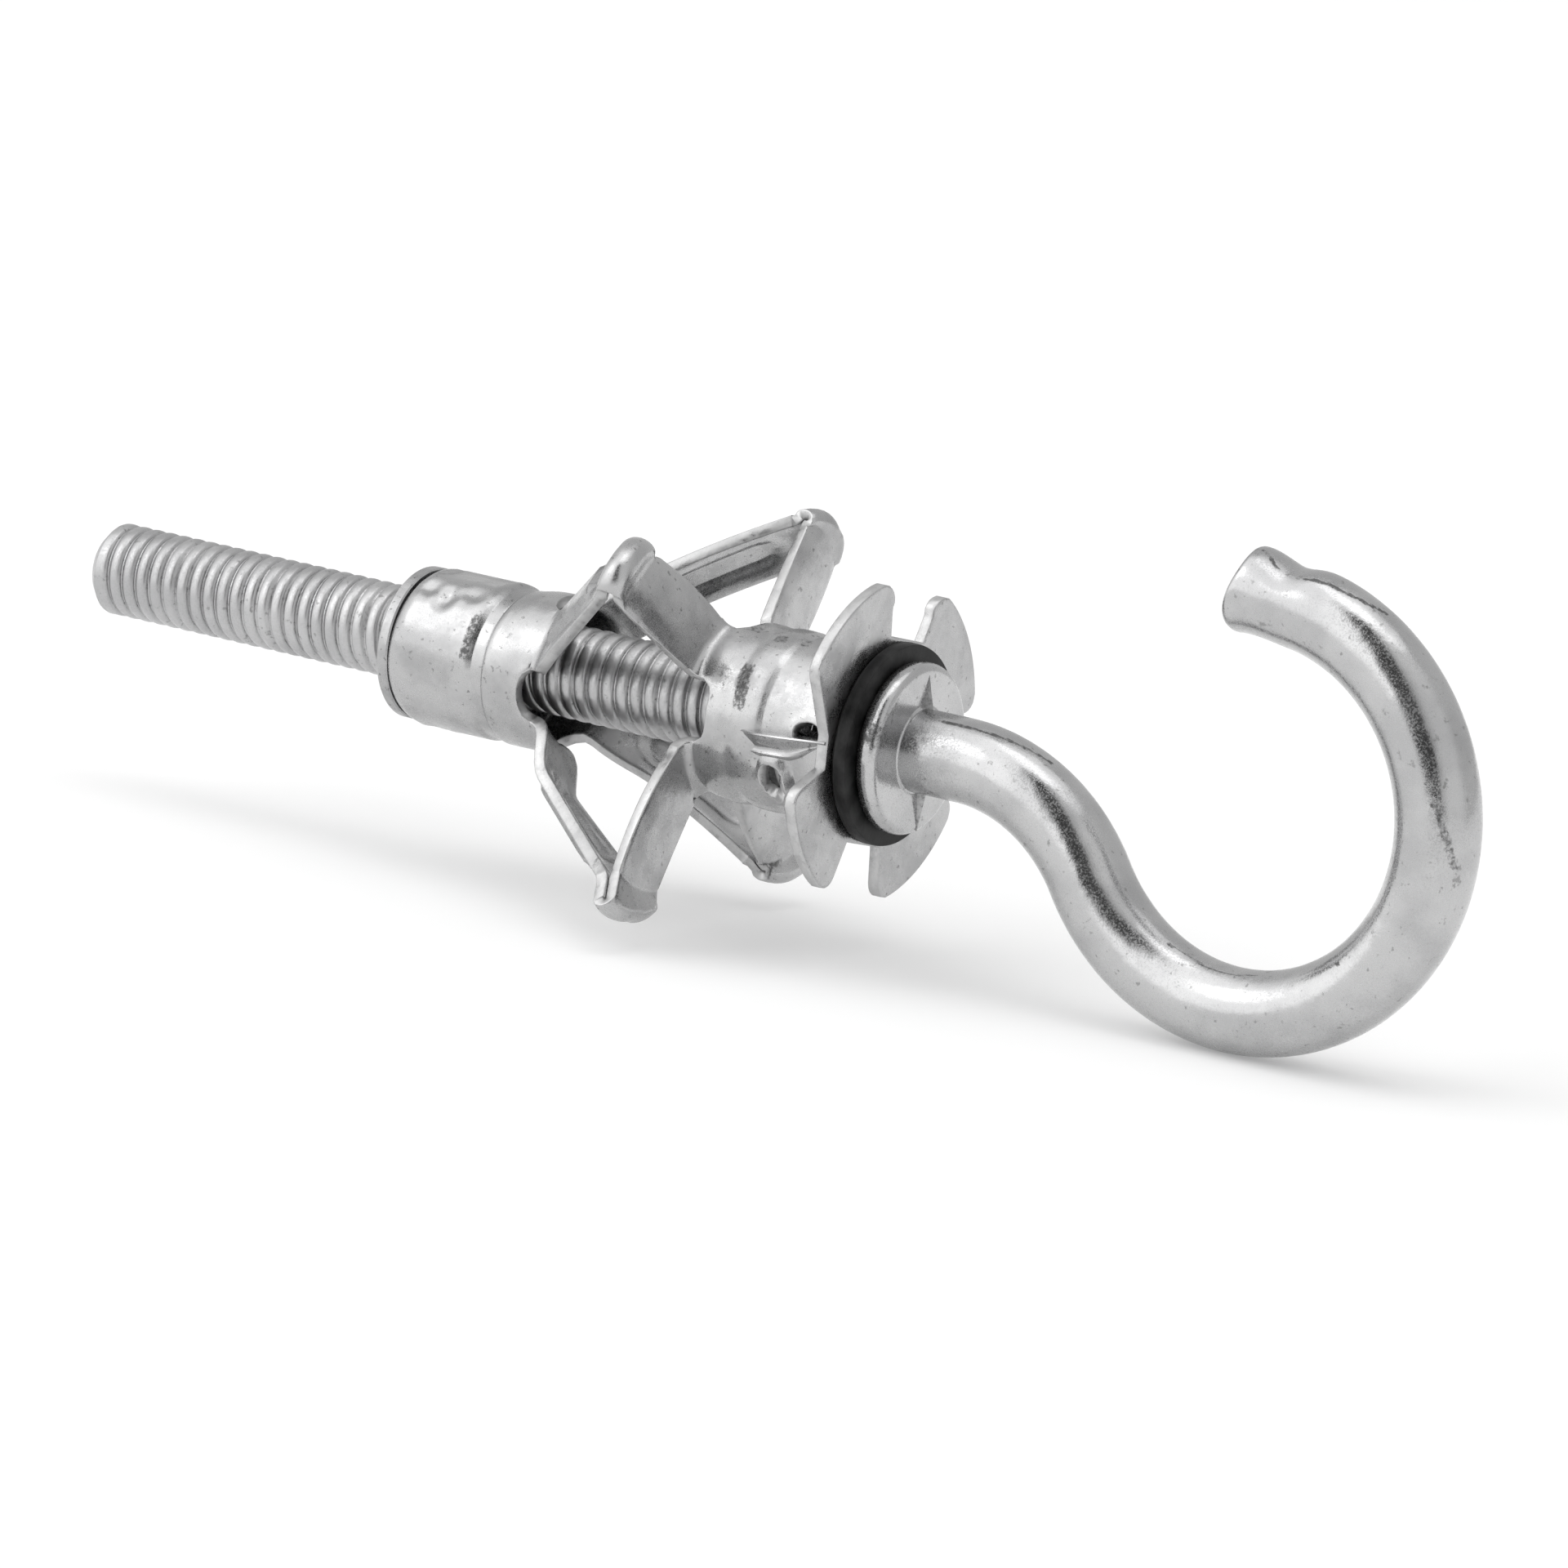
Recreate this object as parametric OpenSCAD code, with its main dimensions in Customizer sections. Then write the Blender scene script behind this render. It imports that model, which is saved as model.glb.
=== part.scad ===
// Hollow-wall anchor, set and expanded, with an open screw hook.
//
// The bolt's axis is the X axis: the hook is at +X and the threaded tail at -X.
// The hook lies in the XZ plane and opens upwards.
// X = 0 is the wall side of the sleeve's flange.
// Angles round the axis start at the top (+Z) and grow towards -Y.

/* [Bolt shank] */
// Outside diameter of the bolt's thread
thread_d = 3.9; // [3:0.05:4.6]
// Distance that the bolt advances in one turn
thread_pitch = 0.7; // [0.4:0.05:1]
// Length of the bolt behind its collar
shank_length = 39.8; // [38:0.2:60]
// Length of the thread, from the tail towards the collar
thread_length = 36; // [28:0.5:37]
// Diameter of the bare rod that the hook is bent from
rod_d = 3.45; // [2.8:0.05:3.9]
// Diameter of the round collar
collar_d = 7.1; // [6.4:0.1:9]
// Thickness of the collar
collar_t = 0.86; // [0.6:0.02:1.5]
// Radius of the collar's rounded edges
collar_edge_r = 0.26; // [0.1:0.02:0.28]
// Reach of the two small webs from the rod's centre
web_reach = 3.1; // [2.4:0.1:3.2]
// Width of a web where it meets the rod
web_w = 0.7; // [0.3:0.05:1.2]
// Length of a web along the rod
web_length = 0.8; // [0.4:0.1:2]

/* [Hook] */
// Straight length of rod in front of the collar
neck_length = 2.05; // [1:0.05:8]
// Centreline radius of the first bend
bend_r = 7.6; // [5:0.1:12]
// Turn of the first bend, in degrees
bend_angle = 58; // [30:0.5:75]
// Centreline radius of the hook's large arc
hook_r = 8.3; // [6:0.1:14]
// Turn of the hook's large arc, in degrees
hook_angle = 249; // [200:1:262]
// Chamfer round the hook's cut tip
tip_chamfer = 0.35; // [0.1:0.05:0.8]
// Distance from the tip back to the shear's nick in the rod
nick_back = 3.1; // [2:0.1:5]
// Depth of that nick
nick_depth = 0.22; // [0.05:0.01:0.4]

/* [Sleeve] */
// Thickness of the sleeve's sheet steel
sheet_t = 0.5; // [0.35:0.05:0.6]
// Outside diameter of the front tube
front_tube_d = 7.25; // [6.9:0.05:8.5]
// Length from the flange's wall side to the front ends of the slots
front_tube_length = 5.9; // [5.2:0.1:12]
// Step up in the front tube's radius next to the slots
shoulder_h = 0.08; // [0.02:0.01:0.15]
// Length of that wider part
shoulder_length = 1.5; // [1:0.1:2]
// Distance along the axis between the slots' front and rear ends
slot_span = 9.45; // [8.5:0.1:12]
// Outside diameter of the tail tube
tail_tube_d = 6.65; // [6.4:0.05:8]
// Length from the slots' rear ends to the tail tube's end
tail_tube_length = 6.4; // [6:0.1:9]
// Depth of the shallow neck rolled into the tail tube
neck_depth = 0.1; // [0.04:0.01:0.2]
// Depth of the flat pressed on the tail tube
flat_depth = 0.12; // [0.05:0.01:0.25]
// Distance by which the set sleeve's tail tube has sunk below the bolt's axis
tail_drop = 0.2; // [0:0.05:0.4]
// Turn of the whole sleeve round the bolt, in degrees
sleeve_turn = 37; // [0:1:90]
// Twist of the sleeve's tail end against its front end, in degrees
tail_twist = 16; // [0:1:24]

/* [Flange] */
// Diameter over the flange's petals
flange_d = 13.5; // [12:0.1:18]
// Width of the gaps between the petals at their floors
petal_gap_w = 2.6; // [2:0.1:3.6]
// Widening of each side of a gap, in degrees
petal_gap_flare = 17; // [0:1:20]
// Radius of the petals' corners
petal_corner_r = 0.7; // [0.3:0.05:1]
// Distance from the axis to the gaps' floors
petal_root_r = 4.25; // [4:0.05:4.8]
// Turn of the petals against the slots, in degrees
petal_turn = -4; // [-10:1:10]

/* [Barbs] */
// Height of a barb's edge above the front tube, at the flange
barb_h = 0.85; // [0.4:0.05:1.2]
// Length of a barb along the tube
barb_length = 4.2; // [2.5:0.1:4.4]
// Diameter of the hole pierced on each side of a barb
barb_hole_d = 1; // [0.6:0.05:1.2]

/* [Legs] */
// Width of a leg at the tail tube
leg_root_w = 3.2; // [2.6:0.05:3.5]
// Width of a leg from its fold to the front tube
leg_w = 2.8; // [2:0.05:3.2]
// Rise of a leg's rear half above the axis, in degrees
leg_rise = 45; // [40:1:50]
// Radius of the fold at a leg's tip, in the middle of the sheet
fold_r = 0.7; // [0.5:0.05:0.9]
// Radius of the softer bend that follows the fold
bulge_r = 1.3; // [1:0.1:1.8]
// Bend radius where a leg leaves the tail tube, in the middle of the sheet
rear_bend_r = 0.8; // [0.5:0.05:1]
// Bend radius where a leg leaves the front tube, in the middle of the sheet
front_bend_r = 0.6; // [0.5:0.05:1]
// Width of the stiffening bead pressed into a leg's rear half
bead_w = 1.4; // [0.8:0.05:1.8]
// Length of that bead
bead_length = 5.6; // [3:0.1:6.4]
// Height of that bead
bead_h = 0.25; // [0.1:0.05:0.4]

/* [Threaded insert] */
// Length of the insert's body inside the tail tube
insert_length = 3.4; // [2:0.1:4.6]
// Diameter of the insert's end flange
insert_flange_d = 6.4; // [6:0.1:8]
// Thickness of the insert's end flange
insert_flange_t = 0.55; // [0.3:0.05:1]
// Gap between the tail tube's end and the insert's flange
insert_gap = 0.25; // [0.05:0.05:0.6]

/* [Rubber ring] */
// Mean radius of the ring
ring_r = 3.45; // [3:0.05:4]
// Diameter of the ring's section before it is squeezed
ring_section_d = 1.44; // [1.1:0.02:1.8]
// Space between the flange and the collar, into which the ring is squeezed
ring_space = 0.8; // [0.6:0.05:1]

/* [Hidden] */
$fn = 96;

// clearances
running = 0.05;   // bolt thread in the insert's bore, on the radius
touch = 0.02;     // ring to collar and flange
skin = 0.02;      // how far a leg's faces stay inside the tube wall they grow out of
over = 0.1;       // how far a cutter or a buried end runs on
swell = 0.01;     // how much thicker than the rest the rod's first bend is, on the radius

rod_r = rod_d / 2;
thread_r = thread_d / 2;
thread_depth = 0.6134 * thread_pitch;
thread_root_r = thread_r - thread_depth;
thread_crest_w = thread_pitch / 8;
thread_root_w = thread_pitch / 4;
thread_flank = (thread_pitch - thread_crest_w - thread_root_w) / 2;

// stations along the axis
collar_back = sheet_t + ring_space;
collar_front = collar_back + collar_t;
tail_x = collar_back - shank_length;
grooves_from = tail_x + thread_depth + thread_crest_w;
thread_grooves = floor((tail_x + thread_length - grooves_from) / thread_pitch);
slots_front = -front_tube_length;
slots_rear = slots_front - slot_span;
tube_end = slots_rear - tail_tube_length;
insert_front = tube_end + insert_length;
insert_back = tube_end - insert_gap - insert_flange_t;

// points of the hook's centreline, as [x, z]
bend_centre = [collar_front + neck_length, -bend_r];
bend_end = bend_centre + bend_r * [sin(bend_angle), cos(bend_angle)];
hook_centre = bend_end + hook_r * [sin(bend_angle), cos(bend_angle)];
hook_start_a = -90 - bend_angle;
hook_end_a = hook_start_a + hook_angle;
over_a = over / hook_r * 180 / PI;
nick_a = hook_end_a - nick_back / hook_r * 180 / PI;
nick_r = 2.2;

// sleeve radii
front_r = front_tube_d / 2;
front_bore_r = front_r - sheet_t;
shoulder_r = front_r + shoulder_h;
front_mid_r = shoulder_r - sheet_t / 2;
tail_r = tail_tube_d / 2;
tail_bore_r = tail_r - sheet_t;
tail_mid_r = tail_r - sheet_t / 2;
root_fillet_r = 0.35;
mouth_r = 0.4;

// tail tube stations, counted from the slots' rear ends
neck_from = 1.9;
neck_to = 2.9;
neck_slope = 0.25;
end_taper = 0.25;
flat_from = 3.4;
flat_length = 2.8;
flat_a = -8;
notch_d = 1.9;
stub_length = 0.55;

// petals and barbs
gap_angles = [for (i = [0:3]) sleeve_turn + 45 + petal_turn + 90 * i];
barb_angles = [gap_angles[0] + 8, gap_angles[2] + 8];
barb_spread = 27;
barb_hole_spread = [-5, 31];
barb_hole_x = [-1.1, -2.35];

// the legs have set unevenly: how each one differs, in degrees
leg_root_turn = [3, 0, 0, 0];
leg_fold_turn = [12, 3, 6, 6];
leg_tail_turn = [0, -4, -1, 2];
leg_rise_off = [3, 0, 0, 1];
leg_lean = [-9, 2, 4, 8];
// each leg: [front root angle, fold angle, tail root angle, rise, lean of the front half]
legs = [for (i = [0:3]) [
    sleeve_turn - 90 * i + leg_root_turn[i],
    sleeve_turn - 90 * i + leg_fold_turn[i],
    sleeve_turn - 90 * i + tail_twist + leg_tail_turn[i],
    leg_rise + leg_rise_off[i],
    leg_lean[i]
]];
fold_turn = 100;       // turn of the tight part of the fold
leg_columns = [-0.5, -0.3, -0.1, 0.1, 0.3, 0.5];
leg_t = sheet_t - 2 * skin;

// ---- helpers ----

// points a solid that was made along Z along the bolt's axis instead
module along_x() {
    rotate([0, 90, 0]) children();
}

// a round bar of radius r from x0 to x1 on the axis
module bar(x0, x1, r) {
    translate([x0, 0, 0]) along_x() cylinder(h = x1 - x0, r = r);
}

// turns a profile drawn as (radius, x) round the bolt's axis
module turned() {
    along_x() rotate_extrude() children();
}

// a rectangle of the profile, from radius r0 to r1 and from x0 to x1
module ring_box(r0, r1, x0, x1) {
    translate([r0, x0]) square([r1 - r0, x1 - x0]);
}

// an arc of the rod in the XZ plane, from angle a0 to a1 round centre c
module rod_arc(c, r, a0, a1, thick = 0) {
    translate([c.x, 0, c.y]) rotate([90, 0, 0]) rotate([0, 0, a0])
        rotate_extrude(angle = a1 - a0) translate([r, 0]) circle(r = rod_r + thick);
}

// a plate of thickness h along X whose outline is drawn in the plane across the axis,
// with the outline's x pointing to angle a
module across(a, x0, h) {
    translate([x0, 0, 0]) rotate([a, 0, 0]) rotate([0, 0, 0])
        multmatrix([[0, 0, 1, 0], [0, -1, 0, 0], [1, 0, 0, 0]])
            linear_extrude(height = h) children();
}

// ---- hook bolt ----

// one groove of the thread's profile, as (radius, x) points, starting at x
function thread_groove(x) = [
    [thread_r, x],
    [thread_root_r, x + thread_flank],
    [thread_root_r, x + thread_flank + thread_root_w],
    [thread_r, x + 2 * thread_flank + thread_root_w],
];

// threaded shank, collar and neck, in one turned profile
module shank() {
    e = collar_edge_r;
    r = collar_d / 2;
    turned() {
        polygon(concat(
            [[0, tail_x], [thread_root_r, tail_x], [thread_r, tail_x + thread_depth]],
            [for (i = [0:thread_grooves - 1]) each thread_groove(grooves_from + i * thread_pitch)],
            [[thread_r, tail_x + thread_length],
             [rod_r, tail_x + thread_length],
             [rod_r, bend_centre.x + over],
             [0, bend_centre.x + over]]));
        ring_box(0, r - e, collar_back, collar_front);
        ring_box(0, r, collar_back + e, collar_front - e);
        translate([r - e, collar_back + e]) circle(r = e);
        translate([r - e, collar_front - e]) circle(r = e);
    }
}

// a small triangular web on the collar's face, standing up to the side of angle a
module web(a) {
    rotate([a, 0, 0]) intersection() {
        translate([collar_front - over, 0, 0]) multmatrix([[0, 0, 1, 0], [1, 0, 0, 0], [0, 1, 0, 0]])
            linear_extrude(height = web_length + over)
                polygon([[-web_w / 2, rod_r * 0.6], [web_w / 2, rod_r * 0.6],
                         [web_w / 2, rod_r], [0, web_reach], [-web_w / 2, rod_r]]);
        translate([collar_front, web_w, 0]) rotate([90, 0, 0])
            linear_extrude(height = 2 * web_w)
                polygon([[-over, 0], [web_length, 0], [web_length, rod_r],
                         [0, web_reach], [-over, web_reach]]);
    }
}

module hook_tip() {
    r = rod_r - swell;
    translate([hook_centre.x, 0, hook_centre.y]) rotate([0, -hook_end_a, 0])
        translate([hook_r, 0, 0]) rotate_extrude()
            polygon([[0, -over], [r, -over], [r, 0], [r - tip_chamfer, tip_chamfer], [0, tip_chamfer]]);
}

module nick() {
    translate([hook_centre.x, 0, hook_centre.y]) rotate([0, -nick_a, 0])
        translate([hook_r + rod_r - nick_depth + nick_r, 0, 0]) rotate([90, 0, 0])
            cylinder(h = 2 * rod_d, r = nick_r, center = true);
}

module hook_bolt() {
    color([0.80, 0.81, 0.82]) difference() {
        union() {
            shank();
            web(0);
            web(180);
            rod_arc(bend_centre, bend_r, 90 - bend_angle, 90, swell);
            rod_arc(hook_centre, hook_r, hook_start_a - over_a, hook_end_a);
            hook_tip();
        }
        nick();
    }
}

// ---- rubber ring ----

module rubber_ring() {
    r = ring_section_d / 2;
    color([0.07, 0.07, 0.07]) turned() difference() {
        translate([ring_r, sheet_t + touch + ring_space / 2]) circle(r = r);
        ring_box(0, 2 * ring_r, sheet_t + touch - ring_section_d, sheet_t + touch);
        ring_box(0, collar_d / 2 + touch, collar_back - touch, collar_front);
    }
}

// ---- anchor sleeve ----

// flange and front tube as one turned shell, before the petals are cut
module front_shell() {
    shoulder_x = slots_front + shoulder_length;
    turned() difference() {
        union() {
            ring_box(front_bore_r, flange_d / 2, 0, sheet_t);
            ring_box(front_bore_r, front_r, slots_front, sheet_t);
            ring_box(front_bore_r, shoulder_r, slots_front, shoulder_x);
            polygon([[front_bore_r, shoulder_x], [shoulder_r, shoulder_x],
                     [front_r, shoulder_x + 4 * shoulder_h], [front_bore_r, shoulder_x + 4 * shoulder_h]]);
            difference() {
                ring_box(front_r - over, front_r + root_fillet_r, -root_fillet_r, over);
                translate([front_r + root_fillet_r, -root_fillet_r]) circle(r = root_fillet_r);
            }
        }
        difference() {
            ring_box(0, front_bore_r + mouth_r, sheet_t - mouth_r, sheet_t + over);
            translate([front_bore_r + mouth_r, sheet_t - mouth_r]) circle(r = mouth_r);
            ring_box(0, front_bore_r, 0, sheet_t - mouth_r);
        }
    }
}

// centre of the rounded corner between a gap's side and the flange's rim
function corner_centre() =
    let (f = petal_gap_flare, q = petal_corner_r,
         p = [petal_root_r, petal_gap_w / 2] + q * [-sin(f), cos(f)],
         d = [cos(f), sin(f)],
         b = p * d,
         s = -b + sqrt(b * b - p * p + pow(flange_d / 2 - q, 2)))
    p + s * d;

// one gap between two petals, with the petals' corners rounded off
module petal_gap() {
    f = petal_gap_flare;
    q = petal_corner_r;
    far = flange_d / 2 + 1;
    spread = (far - petal_root_r) * tan(f);
    c = corner_centre();
    side = c + (q + over) * [sin(f), -cos(f)];
    rim = c * (flange_d / 2 + over) / norm(c);
    polygon([[petal_root_r, -petal_gap_w / 2], [far, -petal_gap_w / 2 - spread],
             [far, petal_gap_w / 2 + spread], [petal_root_r, petal_gap_w / 2]]);
    for (m = [0, 1]) mirror([0, m]) difference() {
        polygon([c, side, side + [far - side.x, (far - side.x) * tan(f)], rim]);
        translate(c) circle(r = q);
    }
}

// one barb: a ramp of tube wall lifted to a sharp edge, pointing to the tail
module barb(a) {
    top = front_r + barb_h;
    low = front_r - sheet_t / 2;
    tip = -barb_length;
    function at(x, r, turn) = [x, -r * sin(a + turn), r * cos(a + turn)];
    polyhedron(
        points = [at(sheet_t / 2, top, 0), at(tip, front_r + barb_h / 2, 2), at(sheet_t / 2, low, -3),
                  at(tip, low, 0), at(sheet_t / 2, low, barb_spread), at(0.7 * tip, low, barb_spread)],
        faces = [[1, 3, 2, 0], [4, 5, 1, 0], [3, 5, 4, 2], [2, 4, 0], [5, 3, 1]]);
}

// the holes pierced beside a barb
module barb_holes(a) {
    for (i = [0, 1])
        rotate([a + barb_hole_spread[i], 0, 0]) translate([barb_hole_x[i], 0, front_bore_r - over])
            cylinder(h = 1.5, d = barb_hole_d);
}

// tail tube as a turned shell: nut seat, rolled neck and the stretch up to the slots
module tail_shell() {
    stub_end = slots_rear + stub_length;
    neck_r = tail_r - neck_depth;
    turned() polygon([
        [tail_bore_r, tube_end],
        [tail_r - end_taper, tube_end],
        [tail_r, tube_end + 3 * end_taper],
        [tail_r, slots_rear - neck_to],
        [neck_r, slots_rear - neck_to + neck_slope],
        [neck_r, slots_rear - neck_from - neck_slope],
        [tail_r, slots_rear - neck_from],
        [tail_r, stub_end],
        [tail_bore_r, stub_end],
    ]);
}

// outward-facing unit normal of a leg's sheet where its path heads to angle h, as [x, radius]
function sheet_normal(h) = [-sin(h), cos(h)];

// displacement along an arc of radius r that turns from heading h0 to h1
function arc_move(r, h0, h1) =
    (h1 < h0 ? 1 : -1) * r * [sin(h0) - sin(h1), cos(h1) - cos(h0)];

// stations of an arc, without its start: [point, heading, share of the way]
function arc_stations(p, r, h0, h1, n) =
    [for (i = [1:n]) let (h = h0 + (h1 - h0) * i / n) [p + arc_move(r, h0, h), h, i / n]];

// lengths of a leg's straight rear and front halves, so that it ends at both tubes
function leg_straights(rise, lean) =
    let (start = [slots_rear + stub_length, tail_mid_r],
         end = [slots_front - stub_length, front_mid_r],
         down = -90 - lean,
         rest = end - start - arc_move(rear_bend_r, 0, rise) - arc_move(fold_r, rise, rise - fold_turn)
              - arc_move(bulge_r, rise - fold_turn, down) - arc_move(front_bend_r, down, 0),
         u = [cos(rise), sin(rise)],
         v = [cos(down), sin(down)],
         det = u.x * v.y - u.y * v.x)
    [(rest.x * v.y - rest.y * v.x) / det, (u.x * rest.y - u.y * rest.x) / det];

// stations along a leg: [point, heading, angle round the axis, width, curl, share of the tail's drop]
// curl is 1 where the sheet is still round like the tubes and 0 where it is flat
function leg_stations(leg) =
    let (rise = leg[3], down = -90 - leg[4], s = leg_straights(rise, leg[4]),
         p0 = [slots_rear + stub_length, tail_mid_r],
         root = arc_stations(p0, rear_bend_r, 0, rise, 3),
         p1 = root[2][0],
         p2 = p1 + s[0] * [cos(rise), sin(rise)],
         fold = arc_stations(p2, fold_r, rise, rise - fold_turn, 6),
         bulge = arc_stations(fold[5][0], bulge_r, rise - fold_turn, down, 3),
         p3 = bulge[2][0] + s[1] * [cos(down), sin(down)],
         foot = arc_stations(p3, front_bend_r, down, 0, 4))
    concat(
        [[p0 - [2 * stub_length, 0], 0, leg[2], leg_root_w, 1, 1], [p0, 0, leg[2], leg_root_w, 1, 1]],
        [for (q = root) [q[0], q[1], leg[2], leg_root_w, 1 - q[2] / 2, 1]],
        [for (q = [0.25, 0.6])
            [p1 + (p2 - p1) * q, rise, leg[2] + (leg[1] - leg[2]) * q, leg_w, 0, 1 - q]],
        [[p2, rise, leg[1], leg_w, 0, 0]],
        [for (q = fold) [q[0], q[1], leg[1], leg_w, 0, 0]],
        [for (q = bulge) [q[0], q[1], leg[1], leg_w, 0, 0]],
        [[p3, down, leg[0], leg_w, 0.3, 0]],
        [for (q = foot) [q[0], q[1], leg[0], leg_w, 0.3 + 0.7 * q[2], 0]],
        [[[slots_front + stub_length, front_mid_r], 0, leg[0], leg_w, 1, 0]]);

// a point of a leg's section: y across the leg, off outwards from the sheet's middle
function leg_point(st, y, off) =
    let (n = sheet_normal(st[1]), x = st[0].x + off * n.x, r = st[0].y + off * n.y,
         turn = y / front_mid_r * 180 / PI,
         rad = r * (1 + st[4] * (cos(turn) - 1)),
         tan_ = y + st[4] * (r * sin(turn) - y))
    [x, -(rad * sin(st[2]) + tan_ * cos(st[2])),
     rad * cos(st[2]) - tan_ * sin(st[2]) - tail_drop * st[5]];

// one leg's bent strip, swept through its stations
module leg_strip(leg) {
    st = leg_stations(leg);
    n = len(st);
    k = len(leg_columns);
    m = 2 * k;
    last = (n - 1) * m;
    points = [for (s = st) each concat(
        [for (c = leg_columns) leg_point(s, c * s[3], leg_t / 2)],
        [for (i = [k - 1:-1:0]) leg_point(s, leg_columns[i] * s[3], -leg_t / 2)])];
    sides = [for (i = [0:n - 2], j = [0:m - 1]) let (a = i * m + j, b = i * m + (j + 1) % m)
        each [[a, a + m, b], [b, a + m, b + m]]];
    ends = [for (j = [0:k - 2])
        each [[j, j + 1, m - 2 - j, m - 1 - j],
              [last + m - 1 - j, last + m - 2 - j, last + j + 1, last + j]]];
    polyhedron(points = points, faces = concat(sides, ends));
}

// outline of a stadium, w wide and l long, lying along x
module stadium(w, l) {
    square([l - w, w], center = true);
    for (s = [-1, 1]) translate([s * (l - w) / 2, 0]) circle(d = w);
}

// places a child on the middle of a leg's rear half, its z pointing outwards
module on_rear_half(leg) {
    s = leg_straights(leg[3], leg[4]);
    p = [slots_rear + stub_length, tail_mid_r] + arc_move(rear_bend_r, 0, leg[3])
        + s[0] / 2 * [cos(leg[3]), sin(leg[3])];
    translate([0, 0, -tail_drop / 2]) rotate([(leg[1] + leg[2]) / 2, 0, 0])
        translate([p.x, 0, p.y]) rotate([0, -leg[3], 0]) children();
}

module anchor_sleeve() {
    color([0.74, 0.75, 0.76]) difference() {
        union() {
            difference() {
                front_shell();
                for (a = gap_angles) across(a, -root_fillet_r - over, sheet_t + root_fillet_r + 2 * over)
                    petal_gap();
            }
            for (a = barb_angles) barb(a);
            translate([0, 0, -tail_drop]) tail_shell();
            for (leg = legs) {
                leg_strip(leg);
                on_rear_half(leg) linear_extrude(height = leg_t / 2 + bead_h)
                    stadium(bead_w + sheet_t, bead_length + sheet_t);
            }
        }
        for (a = barb_angles) barb_holes(a);
        for (leg = legs)
            on_rear_half(leg) translate([0, 0, -leg_t / 2 - 1])
                linear_extrude(height = 1 + bead_h) stadium(bead_w, bead_length);
        translate([0, 0, -tail_drop]) {
            for (i = [0:3]) rotate([sleeve_turn + tail_twist + 45 + 90 * i, 0, 0])
                translate([slots_rear + notch_d / 2, 0, tail_bore_r - over]) cylinder(h = 1, d = notch_d);
            rotate([flat_a, 0, 0])
                translate([slots_rear - flat_from - flat_length, -tail_r, tail_r - flat_depth])
                    cube([flat_length, 2 * tail_r, 1]);
        }
    }
}

// ---- threaded insert ----

module threaded_insert() {
    body_r = tail_bore_r - touch / 2;
    color([0.62, 0.63, 0.65]) difference() {
        translate([0, 0, -tail_drop]) {
            bar(tube_end - insert_gap - over, insert_front, body_r);
            bar(insert_back, insert_back + insert_flange_t, insert_flange_d / 2);
        }
        bar(insert_back - over, insert_front + over, thread_r + running);
    }
}

hook_bolt();
rubber_ring();
anchor_sleeve();
threaded_insert();
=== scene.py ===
import math

import bmesh
import bpy
import numpy as np
from mathutils import Matrix, Vector


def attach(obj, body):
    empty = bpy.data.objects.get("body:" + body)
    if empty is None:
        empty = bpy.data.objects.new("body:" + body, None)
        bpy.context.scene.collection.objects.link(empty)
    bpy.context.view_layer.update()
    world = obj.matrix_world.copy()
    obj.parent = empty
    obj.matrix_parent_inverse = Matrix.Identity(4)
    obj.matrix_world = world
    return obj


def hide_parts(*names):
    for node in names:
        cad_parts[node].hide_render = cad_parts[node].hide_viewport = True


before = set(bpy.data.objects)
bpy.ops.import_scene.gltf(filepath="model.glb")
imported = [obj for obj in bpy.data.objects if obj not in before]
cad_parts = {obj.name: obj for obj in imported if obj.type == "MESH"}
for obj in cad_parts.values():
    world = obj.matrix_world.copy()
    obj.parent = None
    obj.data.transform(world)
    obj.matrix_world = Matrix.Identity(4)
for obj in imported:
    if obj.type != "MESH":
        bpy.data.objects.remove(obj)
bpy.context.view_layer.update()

# ---------------------------------------------------------------------------
# Anchor sleeve. One blank of 0.5 mm mild steel strip, pressed, rolled into a
# tube and zinc plated: a flange of four petals, a front tube, four legs that
# were slit free and folded outwards when it was set, and a tail tube.
# ---------------------------------------------------------------------------

mm = 0.001
sheet = 0.5
slot_front = -5.9
slot_rear = -15.35
tail_outside = 3.325
tail_flat = 3.13
tail_start = -15.55
tail_wave = 0.15
sleeve_end = -21.9
tail_sunk = 0.2
flange_rim = 6.75
flange_fillet = 0.6
petal_corner = 0.7
strip_root = 0.55
slot_corner = 0.45

# the flange's gaps: angle of the floor's middle, half the floor's width in
# degrees, radius of its corners, how far its two sides flare; the first was
# torn open when the barb beside it was lanced
gap_list = [{"middle": 89.0, "half": 8.5, "foot": 4.53, "before": 65.0, "after": 22.0}]
for gap_middle in (168.0, 258.0, 348.0):
    gap_list.append({"middle": gap_middle, "half": 17.0, "foot": 4.44, "before": 17.0, "after": 17.0})

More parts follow.
